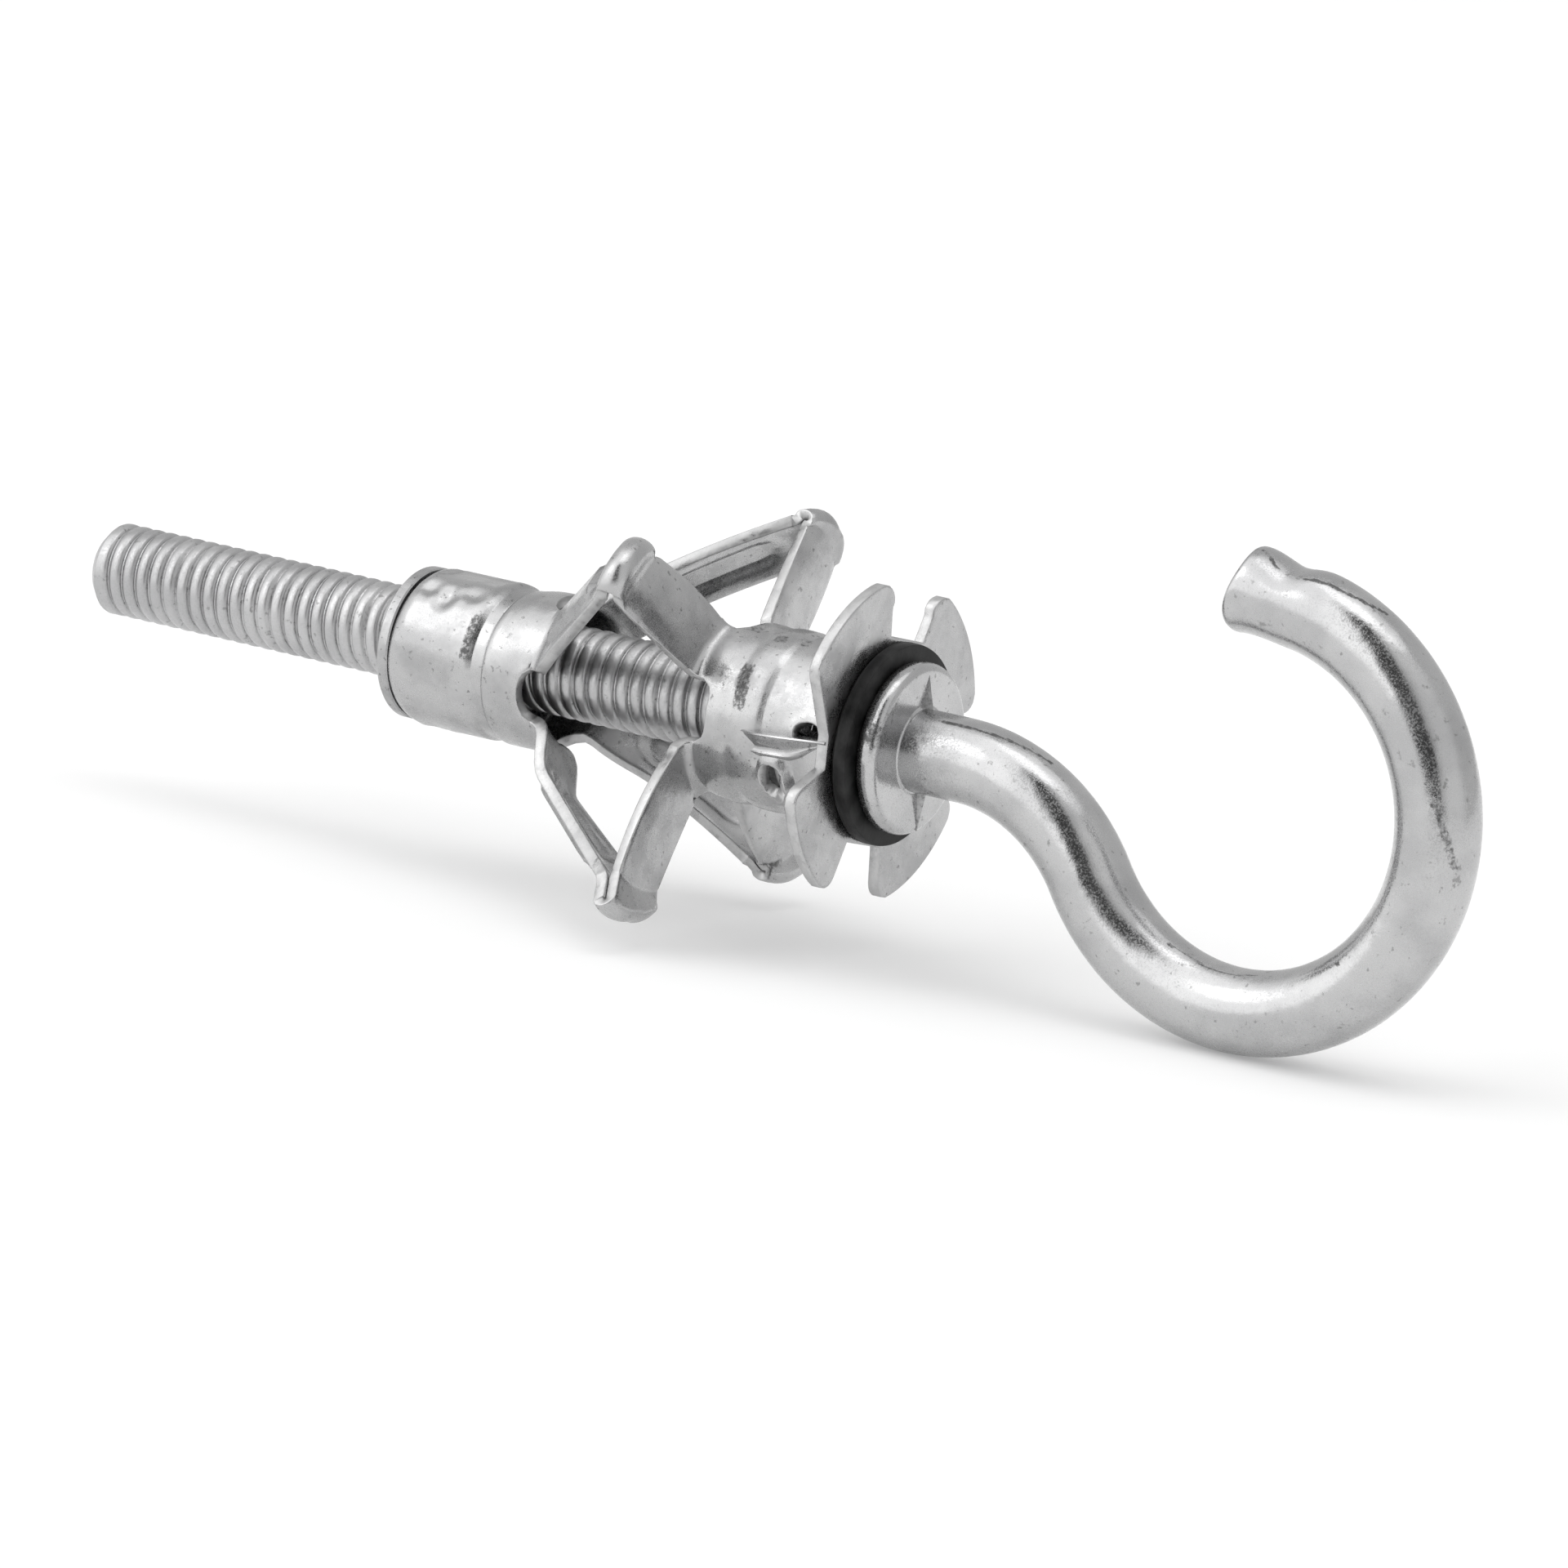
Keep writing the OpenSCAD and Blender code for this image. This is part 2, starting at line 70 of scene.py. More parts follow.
# one leg per quarter turn, in the order of the flange's gaps: angles of its
# root on the front tube, of its fold and of its root on the tail tube, the
# fold's tip as (x, radius), the way its pressed end points, the length over
# which both layers lie together, the space between them, how far the fold's
# two corners stand out or stay back, and a nick in its crest (place, depth);
# the first leg also has a skew, the share by which its fold is turned in its
# own plane, and a knee, the height of the bend near its tail end
leg_list = (
    {"front": 127.0, "fold": 137.0, "tail": 145.0, "tip": (-6.47, 10.77), "stem": 67.0, "pressed": 1.0,
     "space": 0.03, "corners": (0.2, -1.2), "nick": (0.12, 0.06), "skew": 0.24, "knee": 0.85},
    {"front": 217.0, "fold": 220.0, "tail": 232.0, "tip": (-7.0, 10.25), "stem": 68.0, "pressed": 0.7,
     "space": 0.1, "corners": (-1.2, -0.2), "nick": (0.2, 0.05)},
    {"front": 307.0, "fold": 310.0, "tail": 319.0, "tip": (-7.9, 10.5), "stem": 72.0, "pressed": 0.3,
     "space": 0.06, "corners": (-0.5, -0.9), "nick": (-0.1, 0.05)},
    {"front": 400.0, "fold": 405.5, "tail": 413.0, "tip": (-8.43, 9.62), "stem": 70.0, "pressed": 0.6,
     "space": 0.24, "corners": (-0.95, -0.45), "nick": (-0.2, 0.04)},
)
leg_width = 2.8
leg_root_width = 3.2
rear_bend = 0.8
front_bend = 0.6
fold_bend = 1.1
rear_stub = 0.42
front_stub = 0.62
leg_circle = 3.455
rear_half = 9.0
bead_half = 0.72
bead_run = 2.1
bead_height = 0.27
barb_start = 0.42
barb_length = 4.85
barb_reach = 4.62
barb_angles = (84.5, 264.5)

slot_cells = 5
leg_cells = 14
gap_cells = 4
petal_cells = 16
quarter = 24
round_cells = 4 * quarter
straight_cell = 0.36
closest_cell = 0.03


def around(x, r, a):
    """Points at x along the bolt, r from its axis and angle a from the top."""
    a = np.radians(a)
    return np.stack([x + 0.0 * a + 0.0 * r, -r * np.sin(a), r * np.cos(a)], axis=-1)


def ease(t):
    """A soft step from 0 to 1."""
    t = np.clip(t, 0.0, 1.0)
    return t * t * (3.0 - 2.0 * t)


def signed(angle):
    """The same angle in degrees, from -180 to 180."""
    return (angle + 180.0) % 360.0 - 180.0


def slot_columns(key, half):
    """Angles of the tube's columns where the slots and legs begin."""
    out = []
    for q in range(4):
        middle = leg_list[q][key]
        before = leg_list[q - 1][key] - (360.0 if q == 0 else 0.0)
        after = leg_list[(q + 1) % 4][key] + (360.0 if q == 3 else 0.0)
        out.extend(np.linspace((before + middle) / 2, middle - half, slot_cells + 1)[:-1])
        out.extend(np.linspace(middle - half, middle + half, leg_cells + 1)[:-1])
        out.extend(np.linspace(middle + half, (middle + after) / 2, slot_cells + 1)[:-1])
    return np.array(out)


def gap_floor(gap, middle, first):
    """Angles and radii along half of a gap's straight floor."""
    floor = gap["foot"] * math.cos(math.radians(gap["half"]))
    angles = np.linspace(first, first + gap["half"], gap_cells + 1)[:-1]
    return [(a, floor / math.cos(math.radians(a - middle))) for a in angles]


def gap_columns():
    """Angles and radii of the flange's innermost columns, gap by gap."""
    out = []
    for q in range(4):
        one = gap_list[q]
        two = gap_list[(q + 1) % 4]
        start = one["middle"] + one["half"]
        end = two["middle"] - two["half"] + (360.0 if q == 3 else 0.0)
        out.extend(gap_floor(one, one["middle"], one["middle"]))
        for k in range(petal_cells):
            t = k / petal_cells
            out.append((start + (end - start) * t, one["foot"] + (two["foot"] - one["foot"]) * t))
        out.extend(gap_floor(two, end + two["half"], end))
    return np.array(out).T


def front_outline(x):
    """Outside radius of the front tube, with its rolled bead and flare."""
    knots = [-6.6, -6.2, -5.4, -4.9, -4.75, -4.35, -3.9, -3.5, -3.36, -3.2, 0.5]
    radii = [3.705, 3.74, 3.72, 3.66, 3.68, 3.76, 3.77, 3.745, 3.655, 3.625, 3.625]
    return np.interp(x, knots, radii)


# crimps that hold the insert: x, angle, half length, half width and depth
dent_list = (
    (-21.05, 34.0, 0.75, 0.55, 0.12), (-20.0, 40.0, 0.6, 0.7, 0.15), (-18.95, 32.0, 0.7, 0.55, 0.1),
    (-20.6, 172.0, 0.7, 0.7, 0.15), (-20.9, 262.0, 0.7, 0.7, 0.15))


def tail_outline(x, a):
    """Outside radius of the tail tube: neck, pressed flat, crimps and taper."""
    knots = [-21.9, -21.7, -21.4, -18.0, -17.88, -17.12, -17.0, -16.9, -14.0]
    radii = [3.12, 3.25, 3.325, 3.325, 3.21, 3.21, 3.335, 3.325, 3.325]
    r = np.interp(x, knots, radii)
    facet = tail_flat / np.cos(np.radians(np.clip(signed(a + 2.0), -40, 40)))
    share = ease((x + 21.6) / 0.25) * ease((-18.3 - x) / 0.12)
    r = r - share * np.maximum(r - facet, 0.0)
    r = r - 0.17 * np.exp(-((x + 17.15) / 0.75) ** 2) * np.maximum(np.cos(np.radians(a)), 0.0) ** 2
    for x0, a0, half_x, half_y, depth in dent_list:
        side = np.radians(signed(a - a0)) * tail_outside
        size = np.hypot((x - x0) / half_x, side / half_y)
        r = r - depth * (1.0 - ease((size - 0.2) / 0.9)) + 0.02 * np.exp(-((size - 1.2) / 0.25) ** 2)
    return r


def arc_step(r, h0, h1):
    """Move along an arc of radius r from heading h0 to h1, as (x, radius)."""
    s = 1.0 if h1 < h0 else -1.0
    a0 = math.radians(h0)
    a1 = math.radians(h1)
    return s * r * np.array([math.sin(a0) - math.sin(a1), math.cos(a1) - math.cos(a0)])


def leg_stations(leg):
    """The leg's path from the tail tube to the front tube: straight lines
    with rounded corners, folded flat at its tip. Each station: place as (x,
    radius), heading, angle, width, curl, share of the tail's drop, distance
    from the rear half's middle and share of the corners' stand-out."""
    way = math.radians(leg["stem"])
    u = np.array([math.cos(way), math.sin(way)])
    n = np.array([-u[1], u[0]])
    half = (sheet + leg["space"]) / 2
    eye = np.array(leg["tip"]) - (half + sheet / 2) * u
    start = np.array([slot_rear + strip_root, tail_outside - sheet / 2])
    end = np.array([slot_front - strip_root, leg_circle])
    spots = [
        start, start + (rear_stub, 0.0), eye + half * n - leg["pressed"] * u, eye + half * (n + u),
        eye - half * (n - u), eye - half * n - leg["pressed"] * u, end - (front_stub, 0.0), end]
    bends = [0.0, rear_bend, fold_bend, half, half, fold_bend, front_bend, 0.0]
    lengths = [float(np.linalg.norm(b - a)) for a, b in zip(spots, spots[1:])]
    heads = [math.degrees(math.atan2(*(b - a)[::-1])) for a, b in zip(spots, spots[1:])]
    path = [(start, 0.0, 0.0)]
    left = 0.0
    for i, spot in enumerate(spots[1:], 1):
        h0 = heads[i - 1]
        turn = signed(heads[i] - h0) if i < len(heads) else 0.0
        cut = bends[i] * math.tan(math.radians(abs(turn) / 2))
        ahead = spot - spots[i - 1]
        first = left / lengths[i - 1]
        last = 1.0 - cut / lengths[i - 1]
        count = max(1, int(lengths[i - 1] * (last - first) / straight_cell))
        for k in range(1, count + 1 if last > first else 1):
            t = first + (last - first) * k / count
            path.append((spots[i - 1] + t * ahead, h0, i - 1 + t))
        if i == len(heads):
            break
        share = cut / lengths[i]
        count = 5 + int(abs(turn) / 15)
        for k in range(1, count + 1):
            t = k / count
            h = h0 + turn * t
            rounding = spots[i - 1] + last * ahead + arc_step(bends[i], h0, h)
            path.append((rounding, h, i - 1 + last + (1.0 - last + share) * t))
        left = cut
    out = []
    for spot, h, key in path:
        if out and np.linalg.norm(spot - out[-1][0]) < closest_cell:
            continue
        angle = np.interp(key, [1, 2, 5, 6], [leg["tail"], leg["fold"], leg["fold"], leg["front"]])
        width = np.interp(key, [0, 1, 1.35], [leg_root_width, leg_root_width, leg_width])
        curl = np.interp(key, [0, 1, 1.25, 5, 6, 7], [1.0, 0.5, 0.0, 0.0, 0.3, 1.0])
        drop = np.interp(key, [1, 2], [1.0, 0.0])
        along = (key - 1.5) * lengths[1] if 1 < key < 2 else rear_half
        stand = np.interp(key, [1, 2, 2.9, 4.1, 5, 6], [0.0, 0.8, 1.0, 1.0, 0.8, 0.0])
        out.append((spot, h, angle, width, curl, drop, along, stand))
    return out


def leg_row(station, leg):
    """The points across a leg at one station, bead included."""
    p, heading, angle, width, curl, drop, along, stand = station
    e = np.linspace(-0.5, 0.5, leg_cells + 1)
    y = e * width
    reach = np.hypot(np.maximum(np.abs(along) - bead_run, 0.0), y)
    off = bead_height * ease((bead_half + 0.2 - reach) / 0.4)
    way_along = 0.5 + along / rear_half
    off = off + leg.get("knee", 0.0) * max(0.0, 1.0 - way_along) * ease(way_along / 0.25)
    low, high = leg["corners"]
    more = stand * ((high - low) * e + 0.5 * (high + low) * np.abs(2.0 * e) ** 3.0)
    place, deep = leg["nick"]
    more = more - (stand > 0.9) * deep * np.exp(-((e - place) / 0.08) ** 2)
    h = math.radians(heading)
    way = math.radians(leg["stem"])
    slant = leg.get("skew", 0.0) * stand * y
    x = p[0] - off * math.sin(h) + more * math.cos(way) + slant * math.sin(way)
    r = p[1] + off * math.cos(h) + more * math.sin(way) - slant * math.cos(way)
    turn = y / leg_circle
    radial = r * (1.0 + curl * (np.cos(turn) - 1.0))
    side = y + curl * (r * np.sin(turn) - y)
    a = math.radians(angle)
    up = radial * math.cos(a) - side * math.sin(a) - tail_sunk * drop
    return np.stack([x, -(radial * math.sin(a) + side * math.cos(a)), up], axis=-1)


def petal_side(gap, side):
    """One side of a petal, from the gap's floor to the rounded corner."""
    f = math.radians(gap["after"] if side > 0 else gap["before"])
    half = math.radians(gap["half"])
    start = gap["foot"] * np.array([math.cos(half), math.sin(half)])
    d = np.array([math.cos(f), math.sin(f)])
    n = np.array([-math.sin(f), math.cos(f)])
    p = start + petal_corner * n
    b = float(p @ d)
    reach = flange_rim - petal_corner
    corner = p + (-b + math.sqrt(b * b - float(p @ p) + reach * reach)) * d
    a0 = math.atan2(-n[1], -n[0])
    a1 = math.atan2(corner[1], corner[0])
    points = [start + (corner - petal_corner * n - start) * k / 8 for k in range(8)]
    for k in range(11):
        h = a0 + (a1 - a0) * k / 10
        points.append(corner + petal_corner * np.array([math.cos(h), math.sin(h)]))
    s, w = np.array(points).T
    if gap is gap_list[3]:
        # the top gap is a little narrower near its mouth
        w = w - 0.13 * ease((s - 5.35) / 0.16) * ease((6.3 - s) / 0.4)
    w = side * w
    sin = math.sin(math.radians(gap["middle"]))
    cos = math.cos(math.radians(gap["middle"]))
    return np.stack([s * cos - w * sin, s * sin + w * cos], axis=-1)


def spaced(points, count):
    """The same line of points, evenly spaced."""
    s = np.concatenate([[0], np.cumsum(np.hypot(*np.diff(points, axis=0).T))])
    at = np.linspace(0, s[-1], count)
    return np.stack([np.interp(at, s, points[:, 0]), np.interp(at, s, points[:, 1])], axis=-1)


def swept(first, last, radii, count):
    """Points on an arc about the axis from one point on to another."""
    a0 = math.atan2(first[1], first[0])
    a1 = math.atan2(last[1], last[0])
    turn = np.linspace(a0, a1 + (2 * math.pi if a1 < a0 else 0.0), count)
    r = np.linspace(radii[0], radii[1], count)
    return np.stack([r * np.cos(turn), r * np.sin(turn)], axis=-1)


def petal_patch(q):
    """Rows of points on one petal, from the gaps' floor out to its rim."""
    one = gap_list[q]
    two = gap_list[(q + 1) % 4]
    rows = 11
    left = petal_side(one, 1)
    right = petal_side(two, -1)
    rim = swept(left[-1], right[-1], (flange_rim, flange_rim), 25)
    top = spaced(np.concatenate([left[14:], rim[1:-1], right[14:][::-1]]), petal_cells + 1)
    left = spaced(left[:15], rows)
    right = spaced(right[:15], rows)
    low = swept(left[0], right[0], (one["foot"], two["foot"]), petal_cells + 1)
    s = np.linspace(0, 1, petal_cells + 1)[:, None]
    patch = []
    for k in range(rows):
        t = k / (rows - 1)
        flat = (1 - t) * low + t * top + (1 - s) * left[k] + s * right[k]
        flat = flat - (1 - s) * ((1 - t) * left[0] + t * left[-1])
        flat = flat - s * ((1 - t) * right[0] + t * right[-1])
        patch.append(np.stack([np.full(petal_cells + 1, sheet / 2), -flat[:, 1], flat[:, 0]], axis=-1))
    return patch


class Sheet:
    """A growing mesh of rows of points, joined row to row."""

    def __init__(self):
        self.points = []
        self.faces = []

    def row(self, points):
        first = len(self.points)
        self.points.extend(np.asarray(points).tolist())
        return list(range(first, first + len(points)))

    def join(self, one, two, closed=False):
        n = len(one)
        for i in range(n if closed else n - 1):
            j = (i + 1) % n
            self.faces.append((one[i], one[j], two[j], two[i]))

    def tube(self, rows, capped=False):
        for one, two in zip(rows, rows[1:]):
            self.join(one, two, closed=True)
        if capped:
            self.faces.extend([tuple(rows[0]), tuple(rows[-1])])


def sleeve_sheet():
    """The middle of the sleeve's sheet, from the petals to the tail's end."""
    s = Sheet()
    columns, floor_r = gap_columns()
    edge = s.row(around(sheet / 2, floor_r, columns))
    for q in range(4):
        patch = petal_patch(q)
        span = [(quarter * q + gap_cells + k) % round_cells for k in range(petal_cells + 1)]
        below = [edge[k] for k in span]
        for points in patch[1:]:
            above = s.row(points)
            s.join(above, below)
            below = above
    bend = (-0.35, 3.975)
    profile = [(sheet / 2, 4.1)]
    for k in range(7):
        h = math.radians(90.0 * k / 6)
        profile.append((bend[0] + flange_fillet * math.cos(h), bend[1] - flange_fillet * math.sin(h)))
    above = edge
    for x, r in profile:
        below = s.row(around(x, r, columns))
        s.join(above, below, closed=True)
        above = below
    target = slot_columns("front", math.degrees(leg_width / 2 / leg_circle))
    target = target + 360.0 * np.round((columns - target) / 360.0)
    # for each column, 0 at a slot's middle, up to 1 at a leg's edge and on it
    rise = np.arange(slot_cells) / slot_cells
    share = np.tile(np.concatenate([rise, np.ones(leg_cells + 1), rise[:0:-1]]), 4)
    corner = np.clip((share - 0.4) / 0.6, 0, 1)
    end = slot_front - slot_corner * (1.0 - np.sqrt(1.0 - corner ** 2))
    steps = list(np.linspace(-0.55, -5.55, 30))
    steps += [(steps[-1] + end) / 2, end]
    for k, x in enumerate(steps):
        a = columns + (target - columns) * ease((k + 1) / 22)
        below = s.row(around(x, front_outline(x) - sheet / 2, a))
        s.join(above, below, closed=True)
        above = below
    front_edge = above
    a = slot_columns("tail", math.degrees(leg_root_width / 2 / leg_circle))
    end = slot_rear + strip_root * (1.0 - np.sqrt(1.0 - share ** 2)) - 0.04
    tail_rows = []
    for x in [end, (end + tail_start) / 2] + list(np.linspace(tail_start, sleeve_end, 60)):
        ring = around(x, tail_outline(x, a) - sheet / 2, a)
        ring[:, 0] += tail_wave * np.cos(np.radians(a - 10.0)) ** 2 * ease((-21.1 - x) / 0.7)
        ring[:, 2] -= tail_sunk
        tail_rows.append(s.row(ring))
    s.tube(tail_rows)
    rear_edge = tail_rows[0]
    for q in range(4):
        span = [quarter * q + slot_cells + k for k in range(leg_cells + 1)]
        above = [front_edge[k] for k in span]
        for station in reversed(leg_stations(leg_list[q])):
            below = s.row(leg_row(station, leg_list[q]))
            s.join(above, below)
            above = below
        s.join(above, [rear_edge[k] for k in span])
    return s


def polar(co):
    """Angle from the top and distance from the axis of each point."""
    return np.degrees(np.arctan2(-co[:, 1], co[:, 2])), np.hypot(co[:, 1], co[:, 2])


def punched(s, x0, a0, half_x, half_y, lip, torn):
    """Takes the sheet away inside an oval on the front tube, rounds the edge
    and lifts it by the lip, most where it is torn towards the flange."""
    co = np.array(s.points)
    angle, r = polar(co)
    dx = (co[:, 0] - x0) / half_x
    dy = np.radians(signed(angle - a0)) * r / half_y
    near = (np.abs(co[:, 0] - x0) < 2.0) & (r < 4.4)
    gone = []
    kept = []
    for f in s.faces:
        ids = list(f)
        out = near[ids].all() and np.hypot(dx[ids].mean(), dy[ids].mean()) < 1.0
        (gone if out else kept).append(f)
    for v in {v for f in gone for v in f} & {v for f in kept for v in f}:
        size = math.hypot(dx[v], dy[v])
        x = x0 + dx[v] / size * half_x
        a = a0 + math.degrees(dy[v] / size * half_y / r[v])
        s.points[v] = around(x, r[v], a).tolist()
    size = np.hypot(dx, dy)
    for v in np.nonzero(near & (size < 2.2))[0]:
        x, y, z = s.points[v]
        way = math.atan2(dy[v], dx[v])
        height = 1.0 + torn * (math.exp(-way ** 2) + 1.3 * math.exp(-((way - 0.95) / 0.35) ** 2))
        more = 1.0 + lip * height * np.exp(-((size[v] - 1.0) / 0.45) ** 2) / math.hypot(y, z)
        s.points[v] = [x, y * more, z * more]
    s.faces = kept


def as_object(name, points, faces, edges=()):
    """A new mesh object from points in millimetres."""
    mesh = bpy.data.meshes.new(name)
    mesh.from_pydata([[c * mm for c in p] for p in points], edges, faces)
    mesh.validate()
    obj = bpy.data.objects.new(name, mesh)
    bpy.context.scene.collection.objects.link(obj)
    return obj


def marked(obj, label, values):
    """Gives a mesh's points a number each, under a name, or all the same."""
    layer = obj.data.attributes.new(label, "FLOAT", "POINT")
    layer.data.foreach_set("value", np.resize(np.float32(values), len(obj.data.vertices)))


def tidied(obj, sharp=40.0, weld=0.002, outward=True):
    """Welds doubles, turns faces outwards and smooths all but sharp edges."""
    bm = bmesh.new()
    bm.from_mesh(obj.data)
    bmesh.ops.remove_doubles(bm, verts=bm.verts, dist=weld * mm)
    bmesh.ops.delete(bm, geom=[v for v in bm.verts if not v.link_faces], context="VERTS")
    if outward:
        bmesh.ops.recalc_face_normals(bm, faces=bm.faces)
    for f in bm.faces:
        f.smooth = True
    limit = math.radians(sharp)
    for e in bm.edges:
        e.smooth = len(e.link_faces) != 2 or e.calc_face_angle(0.0) < limit
    bm.to_mesh(obj.data)
    bm.free()
    return obj


def thickened(obj, soft):
    """Gives the sheet its thickness about its middle, with rounded rims."""
    bm = bmesh.new()
    bm.from_mesh(obj.data)
    bm.normal_update()
    half = sheet / 2
    solid = Sheet()
    layers = []
    cut = []
    for v in bm.verts:
        away = Vector((0.0, 0.0, 0.0))
        for e in v.link_edges:
            if e.is_boundary:
                f = e.link_faces[0]
                d = (e.other_vert(v).co - v.co).cross(f.normal).normalized()
                away += d if d.dot(f.calc_center_median() - v.co) < 0 else -d
        profile = [(0.0, half), (0.0, -half)]
        if away.length > 0.0:
            away -= v.normal * away.dot(v.normal)
            away = away.normalized() * min(1.6, 2.0 / max(away.length, 0.1))
            profile = [(-soft, half), (-0.3 * soft, half - 0.3 * soft), (0.0, half - soft)]
            profile += [(a, -b) for a, b in reversed(profile)]
        layers.append(solid.row([(v.co / mm + away * a + v.normal * b)[:] for a, b in profile]))
        cut.extend([0.0 if abs(b) == half else 1.0 for a, b in profile])
    for f in bm.faces:
        ids = [v.index for v in f.verts]
        solid.faces.append([layers[i][0] for i in ids])
        solid.faces.append([layers[i][-1] for i in reversed(ids)])
        for loop in f.loops:
            if loop.edge.is_boundary:
                a = layers[loop.vert.index]
                b = layers[loop.link_loop_next.vert.index]
                for k in range(len(a) - 1):
                    solid.faces.append((b[k], a[k], a[k + 1], b[k + 1]))
    bm.free()
    name = obj.name
    bpy.data.objects.remove(obj)
    obj = as_object(name, solid.points, solid.faces)
    marked(obj, "cut", cut)
    return obj


def stained_and_shaded(obj, spots):
    """Marks the points near dark spots with a share of stain and painted shade.
    A spot: x, angle, radius, slant, half length, half width and strength."""
    co = np.array([v.co[:] for v in obj.data.vertices]) / mm
    angle, r = polar(co)
    stain_and_shade = np.zeros(len(co))
    for x0, a0, r0, slant, half_x, half_y, strength in spots:
        turn = signed(angle - a0)
        dx = (co[:, 0] - x0 - slant * turn) / half_x
        dy = np.radians(turn) * r / half_y
        size = np.maximum(np.abs(dx), np.abs(dy)) + np.maximum(np.abs(r - r0) - 0.35, 0.0) / 0.2
        stain_and_shade = np.maximum(stain_and_shade, strength * (1.0 - ease((size - 0.7) / 0.7)))
    marked(obj, "stain_and_shade", stain_and_shade)


def joined(first, *others):
    """Puts other objects' meshes into the first one, which has their metals."""
    bm = bmesh.new()
    bm.from_mesh(first.data)
    for o in others:
        count = len(bm.faces)
        bm.from_mesh(o.data)
        bm.faces.ensure_lookup_table()
        slots = [first.data.materials.find(m.name) for m in o.data.materials]
        for f in bm.faces[count:]:
            f.material_index = slots[f.material_index]
        bpy.data.objects.remove(o)
    bm.to_mesh(first.data)
    bm.free()


def barb_fin(angle):
    """A barb: sheet lanced from the tube and lifted to a sharp edge."""
    s = Sheet()
    rows = []
    for t in np.linspace(0, 1, 23):
        x = barb_start - barb_length * t
        top = barb_reach - 0.42 * t - 0.5 * ease((t - 0.72) / 0.28) - 0.05 * math.sin(9.0 * t)
        far = 1.5 + 15.5 * ease((t - 0.06) / 0.42)
        far = far * math.sqrt(max(0.0, 1.0 - max(0.0, (t - 0.74) / 0.26) ** 2)) + 1.0
        a = angle + 5.5 * t
        ring = [(3.4, -1.6), (top - 0.2, -1.3), (top - 0.03, -0.9), (top, -0.1), (top - 0.08, 0.6)]
        for j in range(1, 17):
            u = j / 16
            hollow = 0.2 * math.sin(math.pi * min(1.0, 1.6 * u)) * math.sin(math.pi * t)
            hollow -= 0.16 * math.exp(-((u - 0.68) / 0.14) ** 2) * math.sin(math.pi * t) ** 0.5
            ring.append((3.45 + (top - 3.5) * (1.0 - u) ** 1.1 - hollow, 0.6 + far * u))
        ring.append((3.3, far * 0.9))
        rows.append(s.row([around(x, r, a + d) for r, d in ring]))
    s.tube(rows, capped=True)
    return tidied(as_object("barb", s.points, s.faces), 50.0)


def plug(socket, value):
    """Gives an input a plain value, or links it to an output or a number."""
    value = getattr(value, "output", value)
    if isinstance(value, bpy.types.NodeSocket):
        socket.id_data.links.new(value, socket)
    else:
        socket.default_value = value


def fill(node, *values, **inputs):
    """Sets or links a node's first inputs in their order, and others by their
    names, written with _ for a space."""
    for socket, value in zip(node.inputs, values):
        plug(socket, value)
    for label, value in inputs.items():
        plug(node.inputs[label.replace("_", " ")], value)
    return node


def add_node(tree, kind, *values, settings=None, **inputs):
    """Adds a node with its settings and its inputs."""
    node = tree.nodes.new(kind)
    for label, value in (settings or {}).items():
        setattr(node, label, value)
    return fill(node, *values, **inputs)


class Number:
    """A number in a node tree; each sum with it adds a node."""

    def __init__(self, output):
        self.output = output

    def by(self, kind, *others):
        tree = self.output.id_data
        node = add_node(tree, "ShaderNodeMath", self, *others, settings={"operation": kind})
        return Number(node.outputs[0])

    def __add__(self, other):
        return self.by("ADD", other)

    def __sub__(self, other):
        return self.by("SUBTRACT", other)

    def __mul__(self, other):
        return self.by("MULTIPLY", other)

    def __truediv__(self, other):
        return self.by("DIVIDE", other)

    def step(self, low, high, to_low=0.0, to_high=1.0, kind="SMOOTHSTEP"):
        """A soft step from to_low, where the number is low, to to_high."""
        node = add_node(
            self.output.id_data, "ShaderNodeMapRange", self, low, high, to_low, to_high,
            settings={"interpolation_type": kind})
        return Number(node.outputs["Result"])


def noise(tree, scale, detail, roughness=0.5, stretch=None):
    """A clouded number that is fixed to the object."""
    place = add_node(tree, "ShaderNodeTexCoord").outputs["Object"]
    if stretch:
        place = add_node(tree, "ShaderNodeMapping", Vector=place, Scale=stretch).outputs["Vector"]
    node = add_node(
        tree, "ShaderNodeTexNoise", Vector=place, Scale=scale, Detail=detail, Roughness=roughness)
    return Number(node.outputs["Fac"])


def blend(tree, share, one, two):
    """A colour that goes from one to the other as the share rises."""
    node = add_node(tree, "ShaderNodeMix", settings={"data_type": "RGBA"}, Factor=share, A=one, B=two)
    return node.outputs["Result"]


def material(name, **inputs):
    """A new material with its main shader's inputs; also its tree and shader."""
    made = bpy.data.materials.new(name)
    made.use_nodes = True
    tree = made.node_tree
    return made, tree, fill(tree.nodes["Principled BSDF"], **inputs)


